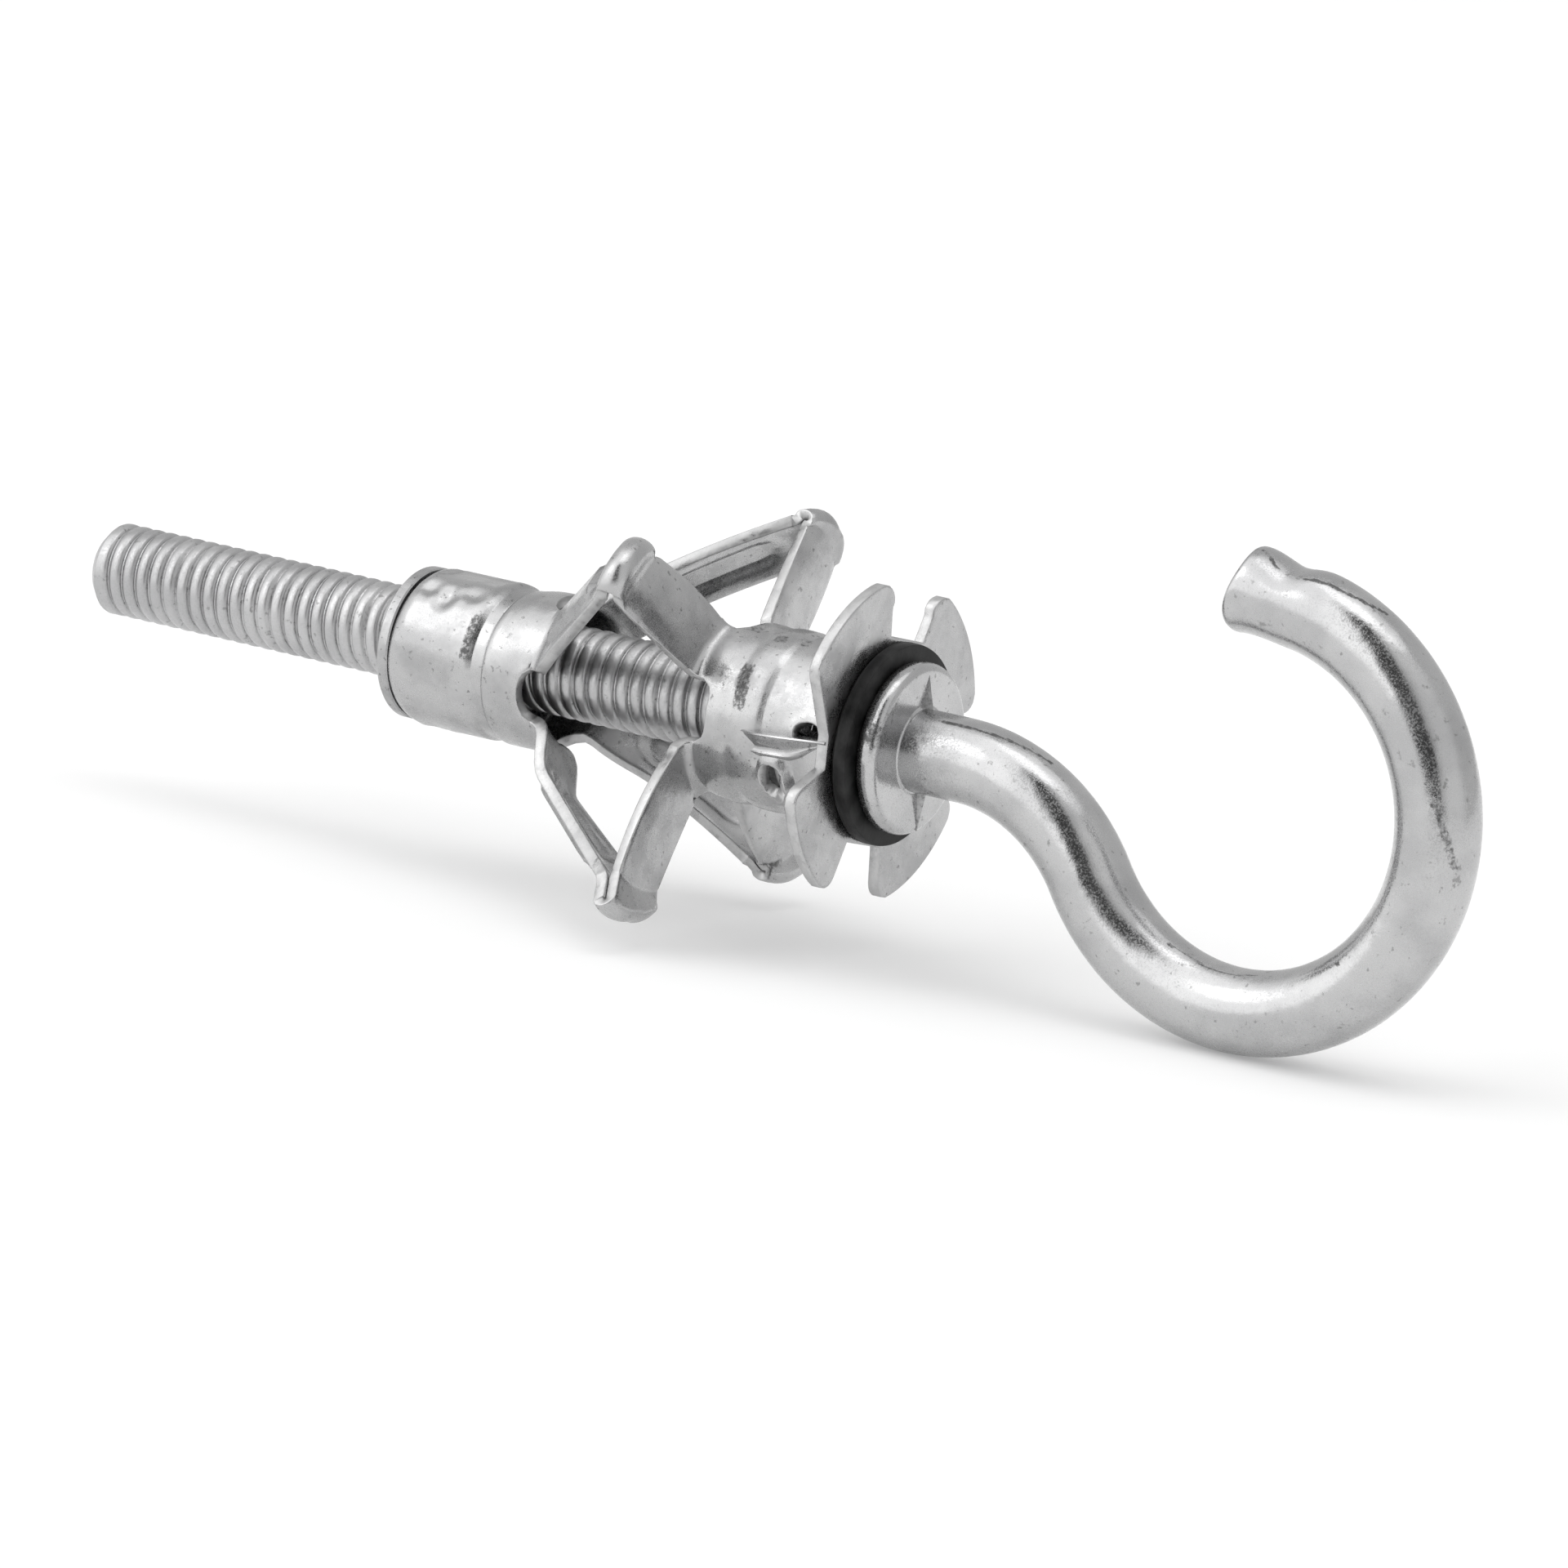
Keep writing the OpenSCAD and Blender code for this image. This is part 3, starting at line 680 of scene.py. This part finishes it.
def zinc_metal(name, bright, dull, smooth, rough, patch, grain, soot, frost):
    """Bright zinc plating: clouded tone and gloss, fine pits, sparkling grains
    and, where the mesh says so, dark stains mixed with painted shade and painted
    dark reflection streaks, lighter sheared edges with a painted edge highlight,
    and a satin skin."""
    made, tree, shader = material(name, Metallic=1.0)

    def on_mesh(label):
        node = add_node(tree, "ShaderNodeAttribute", settings={"attribute_name": label})
        return Number(node.outputs["Fac"])

    clouds = noise(tree, patch, 4.0, 0.6).step(0.38, 0.66)
    specks = noise(tree, patch * 9.0, 3.0, 0.55).step(0.63, 0.72)
    marks = noise(tree, patch * 3.1, 6.0, 0.7).step(0.64, 0.74)
    # the stain mask: real dark stains, together with the painted shade and painted dark reflection
    # streaks that the meshes mark under the same attribute
    stain_and_shade = (noise(tree, patch * 14.0, 6.0, 0.75) * 1.6 + on_mesh("stain_and_shade")).step(1.3, 1.75, 0.0, 0.9)
    streaks = noise(tree, patch * 5.0, 4.0, 0.7, (1.0, 0.35, 1.0)).step(0.36, 0.6, 0.25, 1.0)
    # lighter, rougher tone on the sheared edges: partly the bare cut edge, partly a painted edge
    # highlight
    rim = on_mesh("cut") * streaks
    dark = 3 * (dull * (1.0 - soot),) + (1.0,)
    tone = blend(tree, clouds, (bright, bright, bright * 1.005, 1.0), (dull, dull, dull * 1.01, 1.0))
    tone = blend(tree, marks, tone, dark)
    tone = blend(tree, specks, tone, dark)
    # the 0.09 tone is where stains, painted shade and painted reflection streaks turn near black
    tone = blend(tree, stain_and_shade, tone, (0.09, 0.09, 0.09, 1.0))
    tone = blend(tree, rim, tone, (0.58, 0.58, 0.58, 1.0))
    gloss = noise(tree, patch * 38.0, 3.0, 0.7).step(0.46, 0.6, 0.0, frost)
    gloss = gloss + noise(tree, patch * 1.7, 5.0, 0.65).step(0.35, 0.7, smooth, rough)
    gloss = on_mesh("satin") * 0.2 + gloss
    gloss = stain_and_shade.by("MAXIMUM", rim) * 0.22 + gloss
    pits = noise(tree, patch * 34.0, 3.0, 0.6)
    waves = noise(tree, patch * 2.3, 2.0)
    fine = add_node(tree, "ShaderNodeBump", Strength=grain, Distance=0.00001, Height=pits)
    broad = add_node(
        tree, "ShaderNodeBump", Strength=0.35, Distance=0.00008, Height=waves,
        Normal=fine.outputs["Normal"])
    fill(shader, Base_Color=tone, Roughness=gloss, Normal=broad.outputs["Normal"])
    return made


sheet_zinc = zinc_metal(
    "pressed_sheet_zinc", bright=0.5, dull=0.4, smooth=0.16, rough=0.34, patch=420.0, grain=0.35,
    soot=0.35, frost=0.12)
body = sleeve_sheet()
for fin_angle in barb_angles:
    punched(body, -1.02, fin_angle - 1.5, half_x=0.62, half_y=0.4, lip=0.1, torn=0.0)
    punched(body, -2.62, fin_angle + 34.5, half_x=0.5, half_y=0.66, lip=0.3, torn=0.8)
sleeve = tidied(as_object("dressed_sleeve", body.points, body.faces))
sleeve = tidied(thickened(sleeve, 0.06), 45.0, 0.0005, outward=False)
# dark spots on the sleeve: marks on the front tube, the tail tube and the legs, and, at radius 3.05, a
# painted shade on the front tube's inside
stained_and_shaded(sleeve, (
    (-4.5, 62.0, 3.7, 0.01, 0.36, 1.1, 0.85), (-5.75, 13.0, 3.7, 0.01, 0.5, 0.4, 0.7),
    (-4.15, 19.0, 3.7, 0.01, 0.35, 0.4, 0.75), (-3.16, 15.0, 3.7, 0.01, 0.3, 0.4, 0.7),
    (-3.3, 56.0, 3.7, 0.01, 0.3, 0.4, 0.45), (-5.6, 60.0, 3.7, 0.0, 0.55, 0.6, 0.55),
    (-5.4, 205.0, 3.05, 0.0, 0.9, 1.2, 1.0), (-18.12, 68.0, 3.3, 0.0, 0.24, 1.1, 0.85),
    (-17.5, 22.0, 3.3, 0.0, 0.4, 0.6, 0.55), (-20.2, 42.0, 3.3, 0.0, 0.9, 0.5, 0.4),
    (-8.0, 129.0, 9.2, 0.0, 0.35, 0.6, 0.9), (-7.3, 212.0, 8.6, 0.0, 0.3, 0.7, 0.9)))
sleeve.data.materials.append(sheet_zinc)
for fin_angle in barb_angles:
    fin = barb_fin(fin_angle)
    fin.data.materials.append(sheet_zinc)
    joined(sleeve, fin)
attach(sleeve, "sleeve")
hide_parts("anchor_sleeve")

# ---------------------------------------------------------------------------
# Threaded insert. A short turned steel bush with an M4 thread and a thin end
# flange, zinc plated: it is pushed into the tail tube and crimped there.
# ---------------------------------------------------------------------------

insert_rear = -22.55
insert_inner = -18.35
insert_flange = 3.2
insert_body = 2.81
insert_bore = 2.0
thread_pitch = 0.7
groove_deep = 0.12


def turned(name, profile, sides=96, drop=0.0):
    """Turns a closed outline of (x, radius) points round the bolt's axis."""
    s = Sheet()
    angles = np.linspace(0, 360, sides + 1)[:-1]
    rows = []
    for x, r in profile:
        ring = around(x, r, angles)
        ring[:, 2] -= drop
        rows.append(s.row(ring))
    s.tube(rows + rows[:1])
    return tidied(as_object(name, s.points, s.faces), 32.0)


grooves = []
x = insert_rear + 0.25
while x < insert_inner - 0.5:
    deep = insert_bore + groove_deep
    grooves.extend([(x, insert_bore), (x + 0.3, deep), (x + 0.4, deep)])
    x += thread_pitch
outline = [
    (insert_inner, insert_bore + 0.2), (insert_inner, insert_body - 0.15),
    (insert_inner - 0.15, insert_body), (sleeve_end - 0.1, insert_body),
    (sleeve_end - 0.1, insert_flange - 0.06), (sleeve_end - 0.16, insert_flange),
    (insert_rear + 0.1, insert_flange), (insert_rear, insert_flange - 0.1),
    (insert_rear, insert_bore + 0.25)]
insert = turned("dressed_insert", outline + grooves, drop=tail_sunk)
insert.data.materials.append(zinc_metal(
    "turned_insert_zinc", bright=0.47, dull=0.38, smooth=0.2, rough=0.4, patch=520.0, grain=0.5,
    soot=0.5, frost=0.15))
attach(insert, "sleeve")
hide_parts("threaded_insert")

# ---------------------------------------------------------------------------
# Rubber ring. A moulded black nitrile ring of 1.44 mm section, with a fine
# mould line; the collar has squeezed it against the flange.
# ---------------------------------------------------------------------------

ring_middle = 0.92
ring_mean = 3.45
ring_section = 0.72
ring_back = 0.52
ring_front = 1.2
collar_radius = 3.55


def ring_outline():
    """The squeezed section of the ring, flat on the flange and the collar."""
    out = []
    for k in range(72):
        h = math.radians(5.0 * k)
        x = min(ring_middle + ring_section * math.cos(h), ring_front - 0.02)
        r = ring_mean + ring_section * math.sin(h)
        mould_line = 0.045 * math.exp(-((k - 22.0) / 0.8) ** 2)
        out.append((max(x, ring_back), r + mould_line))
    return out


rubber, tree, shader = material("moulded_black_rubber", Specular_IOR_Level=0.3)
dust = noise(tree, 900.0, 5.0)
bloom = add_node(tree, "ShaderNodeValToRGB", Fac=dust)
dusty_tones = ((0.42, (0.004, 0.004, 0.0042, 1)), (0.74, (0.04, 0.04, 0.04, 1)))
for stop, (place, tone) in zip(bloom.color_ramp.elements, dusty_tones):
    stop.position = place
    stop.color = tone
skin = noise(tree, 6000.0, 3.0)
grain = add_node(tree, "ShaderNodeBump", Strength=0.3, Distance=0.00002, Height=skin)
fill(shader, Base_Color=bloom.outputs["Color"], Roughness=dust * 0.26 + 0.42)
fill(shader, Normal=grain.outputs["Normal"])

ring = turned("dressed_ring", ring_outline(), 128)
ring.data.materials.append(rubber)
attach(ring, "ring")
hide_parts("rubber_ring")

# ---------------------------------------------------------------------------
# Hook bolt. Drawn steel rod, headed to a collar, with an M4 thread rolled on
# its tail and the front bent to an open hook, then zinc plated. It screws
# into the insert and squeezes the ring against the flange.
# ---------------------------------------------------------------------------

rod_radius = 1.725
rod_start = -3.2
rod_sides = 88
tail_tip = -38.5
thread_run = 36.0
crest_radius = 1.95
root_radius = 1.72
collar_back = 1.2
collar_front = 2.16
bend_middle = (4.21, -7.6)
bend_radius = 7.6
bend_turn = 58.0
hook_radius = 8.3
hook_turn = 249.0
bend_cells = 52
hook_cells = 236
thread_rows = 780
thread_sides = 64


def tree_with(name, lengths, counts):
    """A new geometry tree with named inputs: lengths, counts and the metal."""
    tree = bpy.data.node_groups.new(name, "GeometryNodeTree")
    tree.interface.new_socket("Geometry", in_out="OUTPUT", socket_type="NodeSocketGeometry")
    kinds = {"Geometry": ["Geometry"], "Float": lengths, "Int": counts, "Material": ["Steel"]}
    for kind in kinds:
        for label in kinds[kind]:
            tree.interface.new_socket(label, in_out="INPUT", socket_type="NodeSocket" + kind)
    return tree, tree.nodes.new("NodeGroupInput").outputs


def end_tree(tree, shape, steel):
    """Ends a tree: its shape made real and in its metal."""
    real = add_node(tree, "GeometryNodeRealizeInstances", Geometry=shape)
    paint = add_node(tree, "GeometryNodeSetMaterial", Geometry=real.outputs["Geometry"], Material=steel)
    plug(tree.nodes.new("NodeGroupOutput").inputs[0], paint.outputs["Geometry"])


def run_tree(obj, tree, values):
    """Gives an object the tree, sets its inputs and keeps the plain result."""
    mod = obj.modifiers.new(tree.name, "NODES")
    mod.node_group = tree
    for item in tree.interface.items_tree:
        if item.in_out == "INPUT" and item.name in values:
            mod[item.identifier] = values[item.name]
    ready = obj.evaluated_get(bpy.context.evaluated_depsgraph_get())
    mesh = bpy.data.meshes.new_from_object(ready)
    obj.modifiers.clear()
    obj.data = mesh


def thread_tree():
    """A rolled screw thread: a grid wound round the axis, its rows following
    the helix, with rounded crests and roots, and a cone at each end."""
    lengths = ("Start", "Length", "Pitch", "Crest radius", "Root radius")
    tree, sizes = tree_with("rolled_thread", lengths, ("Rows", "Sides"))
    start, run, pitch, crest, root = [Number(sizes[label]) for label in lengths]
    grid = add_node(
        tree, "GeometryNodeMeshGrid", Size_X=1.0, Size_Y=1.0, Vertices_X=sizes["Rows"],
        Vertices_Y=Number(sizes["Sides"]) + 1.0)
    place = add_node(tree, "GeometryNodeInputPosition").outputs[0]
    split = add_node(tree, "ShaderNodeSeparateXYZ", Vector=place).outputs
    u = Number(split[0]) + 0.5
    v = Number(split[1]) + 0.5
    wound = u * (run + pitch)
    away = ((wound / pitch).by("FRACT") - 0.5).by("ABSOLUTE") * 2.0
    beside = (away * 7.0 - 5.6).by("ABSOLUTE")
    flank = (beside * -1.0 + 1.0).step(0.0, 1.0)
    nose = ((wound - pitch) / pitch).by("MAXIMUM", 0.0).by("MINIMUM", 1.0)
    groove = (away * away * 0.55 + flank * 0.45) * nose
    height = groove * -1.0 + 1.0
    end = start + run
    x = (start + wound + (v - 1.0) * pitch).by("MAXIMUM", start).by("MINIMUM", end)
    low = root * 0.9
    cones = (x - start + low).by("MINIMUM", end - x + low)
    r = (height * (crest - root) + root).by("MINIMUM", cones)
    turn = v * (2 * math.pi)
    spot = add_node(tree, "ShaderNodeCombineXYZ", x, r * turn.by("COSINE"), r * turn.by("SINE"))
    # painted shade: the thread's roots are darker than its crests, and the thread darkens further where
    # it runs inside the sleeve's front tube and under the front of the legs
    shade_under_sleeve = x.step(-0.008, -0.003, 0.0, 0.16, "LINEAR")
    groove_and_inside_shade = height * -0.4 + 0.66 + shade_under_sleeve
    keep = "GeometryNodeStoreNamedAttribute"
    skin = add_node(tree, keep, Geometry=grid.outputs["Mesh"], Name="stain_and_shade", Value=groove_and_inside_shade)
    skin = add_node(tree, keep, Geometry=skin.outputs["Geometry"], Name="satin", Value=1.0)
    wind = add_node(
        tree, "GeometryNodeSetPosition", Geometry=skin.outputs["Geometry"], Position=spot.outputs[0])
    ends = add_node(tree, "GeometryNodeJoinGeometry", Geometry=wind.outputs["Geometry"])
    for side in (start, end):
        disc = add_node(
            tree, "GeometryNodeMeshCircle", sizes["Sides"], low, settings={"fill_type": "NGON"})
        at = add_node(tree, "ShaderNodeCombineXYZ", side)
        disc = add_node(
            tree, "GeometryNodeTransform", Geometry=disc.outputs["Mesh"], Translation=at.outputs[0],
            Rotation=(math.pi / 2, 0.0, math.pi / 2))
        plug(ends.inputs[0], disc.outputs["Geometry"])
    weld = add_node(tree, "GeometryNodeMergeByDistance", Geometry=ends.outputs[0], Distance=0.000004)
    end_tree(tree, weld.outputs["Geometry"], sizes["Steel"])
    return tree


def rod_tree():
    """A round rod that follows a line of points, as thick as each says."""
    tree, sizes = tree_with("bent_rod", ("Rod radius",), ("Sides",))
    path = add_node(tree, "GeometryNodeMeshToCurve", Mesh=sizes["Geometry"])
    thick = add_node(tree, "GeometryNodeInputNamedAttribute", Name="thickness")
    section = add_node(
        tree, "GeometryNodeCurvePrimitiveCircle", Resolution=sizes["Sides"], Radius=sizes["Rod radius"])
    sweep = add_node(
        tree, "GeometryNodeCurveToMesh", Curve=path.outputs["Curve"],
        Profile_Curve=section.outputs["Curve"], Scale=thick.outputs["Attribute"], Fill_Caps=True)
    end_tree(tree, sweep.outputs["Mesh"], sizes["Steel"])
    return tree


def rod_line():
    """Points of the rod's middle from inside the sleeve to the hook's tip,
    and its thickness there as a share of the rod's radius."""
    points = [(x, 0.0) for x in np.linspace(rod_start, bend_middle[0], 34)[:-1]]
    s = math.sin(math.radians(bend_turn))
    c = math.cos(math.radians(bend_turn))
    apart = bend_radius + hook_radius
    middle = (bend_middle[0] + apart * s, bend_middle[1] + apart * c)
    for k in range(bend_cells):
        h = math.radians(bend_turn * k / bend_cells)
        x = bend_middle[0] + bend_radius * math.sin(h)
        points.append((x, bend_middle[1] + bend_radius * math.cos(h)))
    for k in range(hook_cells + 1):
        h = math.radians(-90.0 - bend_turn + hook_turn * k / hook_cells)
        points.append((middle[0] + hook_radius * math.cos(h), middle[1] + hook_radius * math.sin(h)))
    share = [1.0] * len(points)
    tip = np.array(points[-1])
    ahead = np.array([-math.sin(h), math.cos(h)])
    for step, size in ((0.12, 0.985), (0.22, 0.945), (0.3, 0.88), (0.34, 0.8)):
        points.append(tuple(tip + ahead * step))
        share.append(size)
    return points, share, middle, math.degrees(h)


hook_zinc = zinc_metal(
    "drawn_rod_zinc", bright=0.54, dull=0.46, smooth=0.09, rough=0.22, patch=330.0, grain=0.35,
    soot=0.3, frost=0.2)
line, share, hook_middle, tip_angle = rod_line()
steps = [(k, k + 1) for k in range(len(line) - 1)]
rod = as_object("rod", [(x, 0.0, z) for x, z in line], [], steps)
marked(rod, "thickness", share)
run_tree(rod, rod_tree(), {"Rod radius": rod_radius * mm, "Sides": rod_sides, "Steel": hook_zinc})

# the hook's end: pinched behind the tip, raised outwards and sheared at a slant
for v in rod.data.vertices:
    x = v.co.x / mm - hook_middle[0]
    z = v.co.z / mm - hook_middle[1]
    back = math.radians(tip_angle - math.degrees(math.atan2(z, x))) * hook_radius
    out = math.hypot(x, z) - hook_radius
    if -1.0 < back < 6.0:
        pinch = 0.24 * math.exp(-((back - 2.35) / 0.7) ** 2) * ease((out - 0.3) / 1.2)
        raised = 0.3 * (1.0 - ease((back + 0.6) / 3.4))
        drawn = 0.95 * (1.0 - ease((back + 0.4) / 2.2)) * ease((out + 1.5) / 3.2)
        turn_back = drawn / hook_radius
        scale = (hook_radius + out - pinch + raised) / (hook_radius + out)
        px = x * math.cos(turn_back) + z * math.sin(turn_back)
        pz = z * math.cos(turn_back) - x * math.sin(turn_back)
        v.co.x = (hook_middle[0] + px * scale) * mm
        v.co.z = (hook_middle[1] + pz * scale) * mm
tidied(rod, 35.0)

bolt = as_object("dressed_hook_bolt", [(0, 0, 0)], [])
run_tree(bolt, thread_tree(), {
    "Start": tail_tip * mm, "Length": thread_run * mm, "Pitch": thread_pitch * mm,
    "Crest radius": crest_radius * mm, "Root radius": root_radius * mm,
    "Rows": thread_rows, "Sides": thread_sides, "Steel": hook_zinc})
tidied(bolt, 50.0, 0.001)


def rounded(points, radius, steps=8):
    """Rounds the corners of a closed outline."""
    out = []
    for i in range(len(points)):
        p = np.array(points[i], float)
        a = np.array(points[i - 1], float) - p
        b = np.array(points[(i + 1) % len(points)], float) - p
        la = np.linalg.norm(a)
        lb = np.linalg.norm(b)
        cut = min(radius, la * 0.45, lb * 0.45)
        one = p + a / la * cut
        two = p + b / lb * cut
        for k in range(steps + 1):
            t = k / steps
            out.append(tuple((1 - t) ** 2 * one + 2 * t * (1 - t) * p + t * t * two))
    return out


face = [
    (collar_back, 0.5), (collar_back, collar_radius), (collar_front, collar_radius),
    (collar_front, rod_radius + 0.12), (collar_front + 0.07, rod_radius + 0.05),
    (collar_front + 0.07, 0.5)]
collar = turned("collar", rounded(face, 0.46), 128)
collar.data.materials.append(hook_zinc)


def painted_streaks(obj, lines):
    """Adds long painted dark reflection streaks to the stain and shade. A line:
    half width, strength and the points it passes."""
    co = np.array([v.co[:] for v in obj.data.vertices]) / mm
    stain_and_shade = np.zeros(len(co))
    for half, strength, *points in lines:
        points = np.array(points)
        near = np.full(len(co), 99.0)
        for a, b in zip(points, points[1:]):
            t = np.clip((co - a) @ (b - a) / ((b - a) @ (b - a)), 0.0, 1.0)
            near = np.minimum(near, np.linalg.norm(co - a - t[:, None] * (b - a), axis=1))
        stain_and_shade = np.maximum(stain_and_shade, strength * (1.0 - ease((near / half - 0.5) / 0.9)))
    marked(obj, "stain_and_shade", stain_and_shade)


def gusset(name, angle, reach):
    """A small pointed web between the rod and the collar's face."""
    s = Sheet()
    rows = []
    for t in np.linspace(0, 1, 9):
        r = 1.6 + (reach - 1.6) * t
        half = 0.12 * (1 - t) ** 0.9 + 0.01
        tall = 0.4 * (1 - t) ** 1.1 + 0.01
        row = []
        for j in range(7):
            w = -1 + j / 3
            row.append((collar_front - 0.05 + (tall + 0.05) * (1 - abs(w) ** 1.4), w * half, r))
        rows.append(s.row(row))
    s.tube(rows, capped=True)
    sin = math.sin(math.radians(angle))
    cos = math.cos(math.radians(angle))
    spun = [(x, -r * sin - w * cos, r * cos - w * sin) for x, w, r in s.points]
    return tidied(as_object(name, spun, s.faces), 40.0)


webs = [gusset("web_top", -2.0, 3.08), gusset("web_low", 186.0, 3.4)]
for web in webs:
    web.data.materials.append(hook_zinc)
    for label, value in (("stain_and_shade", 0.62), ("cut", 0.3), ("satin", 1.0)):
        marked(web, label, value)
# painted dark reflection streaks along the neck's top, the bends and the hook's right side; the broad
# faint one is a painted shade low on the hook's front
painted_streaks(rod, (
    (0.12, 0.95, (3.57, -0.78, 1.54), (4.49, -0.76, 1.55), (5.64, -0.7, 1.46), (6.7, -0.53, 1.3),
     (8.39, -0.18, 0.72)),
    (0.1, 0.8, (14.89, -0.67, -5.27), (15.82, -0.59, -5.59), (16.66, -0.7, -5.82),
     (17.64, -0.73, -5.91), (19.05, -0.62, -5.72)),
    (0.13, 1.0, (18.62, -1.09, 10.42), (19.41, -0.96, 10.4), (20.26, -0.81, 10.31), (21.14, -0.7, 10.08),
     (22.01, -0.5, 9.79), (22.67, -0.18, 9.52)),
    (0.13, 0.7, (16.55, -0.62, 10.95), (16.81, -0.5, 11.0), (17.13, -0.42, 11.0), (17.57, -0.65, 10.8)),
    (0.13, 0.9, (17.57, -0.65, 10.75), (17.94, -0.86, 10.62), (18.31, -0.96, 10.5),
     (18.62, -1.09, 10.42)),
    (0.1, 0.6, (11.83, -1.71, -4.74), (11.48, -1.67, -5.33)),
    (0.14, 1.1, (22.98, -1.46, -4.31), (23.02, -1.46, -4.3)),
    (0.24, 0.75, (26.51, -1.56, 2.8), (26.85, -1.45, 2.05), (27.12, -1.3, 1.26), (27.4, -0.99, 0.43)),
    (0.6, 0.4, (17.5, -1.5, -8.3), (20.04, -1.65, -7.66), (22.2, -1.68, -6.9), (24.06, -1.6, -5.46)),
    (0.16, 0.5, (14.97, -1.56, -7.78), (15.07, -1.22, -8.33)),
    (0.14, 0.45, (22.11, -1.45, 8.94), (23.0, -1.56, 8.13))))
stained_and_shaded(collar, ((1.7, 74.0, 3.45, 0.0, 0.5, 0.55, 0.8), (2.0, 60.0, 2.6, 0.0, 0.3, 0.9, 0.5),
                 (2.1, 100.0, 2.4, 0.0, 0.3, 1.0, 0.45), (1.8, 150.0, 3.4, 0.0, 0.4, 1.4, 0.45),
                 (1.8, 25.0, 3.4, 0.0, 0.4, 0.9, 0.4)))
joined(bolt, rod, collar, *webs)
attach(bolt, "hook")
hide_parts("hook_bolt")

# ---------------------------------------------------------------------------
# Studio: a white table, soft light from a white tent and two wide lamps, and
# the camera that looks at the anchor from the hook's side, slightly above.
# ---------------------------------------------------------------------------

table_top = -9.22
table_half = 3000.0
view_from = (200.4274, -328.9931, 77.3941)
right = Vector((0.83389, 0.54279, 0.10007))
upward = Vector((-0.19304, 0.11696, 0.97420))
forward = Vector((-0.51708, 0.83169, -0.20231))
tent = bpy.data.worlds.new("white_tent")
bpy.context.scene.world = tent
tent.use_nodes = True
tree = tent.node_tree
tree.nodes.clear()
direction = add_node(tree, "ShaderNodeTexCoord").outputs["Generated"]


def facing(vector):
    """How far a direction points along a fixed one."""
    dot = {"operation": "DOT_PRODUCT"}
    node = add_node(tree, "ShaderNodeVectorMath", direction, vector, settings=dot)
    return Number(node.outputs["Value"])


# the tent's cloth, by compass angle from its open side and by height: a lit
# panel high on the left, grey cloth elsewhere, and the dark of the opening
compass = facing(right).by("ARCTAN2", facing(-forward)) * (180 / math.pi)
height = facing(upward).by("ARCSINE") * (180 / math.pi)
from_edge = compass - (height * 0.3 - 32.0)
panel = from_edge.step(4.0, -6.0) * compass.step(-150.0, -85.0) * height.step(-14.0, 8.0)
crown = height.step(54.0, 66.0) * compass.step(95.0, 15.0) * compass.step(-170.0, -90.0)
opening = from_edge.step(-5.0, 5.0) * compass.step(11.0, 3.0)
opening = opening * height.step(-22.0, -14.0) * height.step(62.0, 52.0)
sill = (height + (compass * 0.12 + 17.0)).by("ABSOLUTE")
sill_deep = ((compass + 8.0) / 58.0).by("ABSOLUTE").by("POWER", 2.0) * -8.5 + 9.0
sill = (sill / sill_deep.by("MAXIMUM", 0.01)).step(1.2, 0.75)
glow = compass.step(12.0, 26.0) * compass.step(80.0, 55.0)
level = panel.by("MAXIMUM", crown) * 0.95 + (glow * 0.2 + 0.66)
level = opening.by("MAXIMUM", sill) * -0.88 * level + level

white = (1, 1, 1, 1)
ray = add_node(tree, "ShaderNodeLightPath").outputs
clear_way = Number(ray["Is Camera Ray"]).by("MAXIMUM", ray["Is Transmission Ray"])
cloth = add_node(tree, "ShaderNodeBackground", Color=white, Strength=level)
plain = add_node(tree, "ShaderNodeBackground", Color=white)
choose = add_node(tree, "ShaderNodeMixShader", clear_way, cloth.outputs[0], plain.outputs[0])
add_node(tree, "ShaderNodeOutputWorld", Surface=choose.outputs[0])

corners = [(x * table_half, y * table_half, table_top) for x, y in ((-1, -1), (1, -1), (1, 1), (-1, 1))]
table = as_object("table", corners, [(0, 1, 2, 3)])
paper, tree, shader = material(
    "white_paper", Base_Color=(0.8, 0.8, 0.8, 1), Roughness=0.9, Specular_IOR_Level=0.0)
ray = add_node(tree, "ShaderNodeLightPath").outputs
shown = Number(ray["Is Camera Ray"]).by("MAXIMUM", ray["Is Glossy Ray"])
shown = shown.by("MAXIMUM", ray["Is Transmission Ray"])
lit = add_node(tree, "ShaderNodeEmission", Strength=shown * 0.22)
both = add_node(tree, "ShaderNodeAddShader", shader.outputs[0], lit.outputs[0])
fill(tree.nodes["Material Output"], Surface=both.outputs[0])
table.data.materials.append(paper)


def lamp(name, place, aim, width, power):
    """A wide soft lamp at a place, turned to a point."""
    light = bpy.data.lights.new(name, "AREA")
    light.shape = "DISK"
    light.size = width * mm
    light.energy = power
    obj = bpy.data.objects.new(name, light)
    bpy.context.scene.collection.objects.link(obj)
    obj.location = Vector(place) * mm
    obj.rotation_euler = (Vector(aim) - Vector(place)).to_track_quat("-Z", "Y").to_euler()


lamp("lamp_left", (-260, -260, 300), (-5, 0, 0), 260, 0.16)
lamp("lamp_above", (60, 40, 380), (-5, 0, 0), 300, 0.12)

lens = bpy.data.cameras.new("view")
lens.sensor_width = 36.0
lens.lens = 223.4
lens.clip_start = 0.01
camera = bpy.data.objects.new("view", lens)
bpy.context.scene.collection.objects.link(camera)
turn = Matrix((right, upward, -forward)).transposed()
camera.matrix_world = Matrix.Translation(Vector(view_from) * mm) @ turn.to_4x4()
bpy.context.scene.camera = camera
bpy.context.scene.view_settings.view_transform = "Standard"
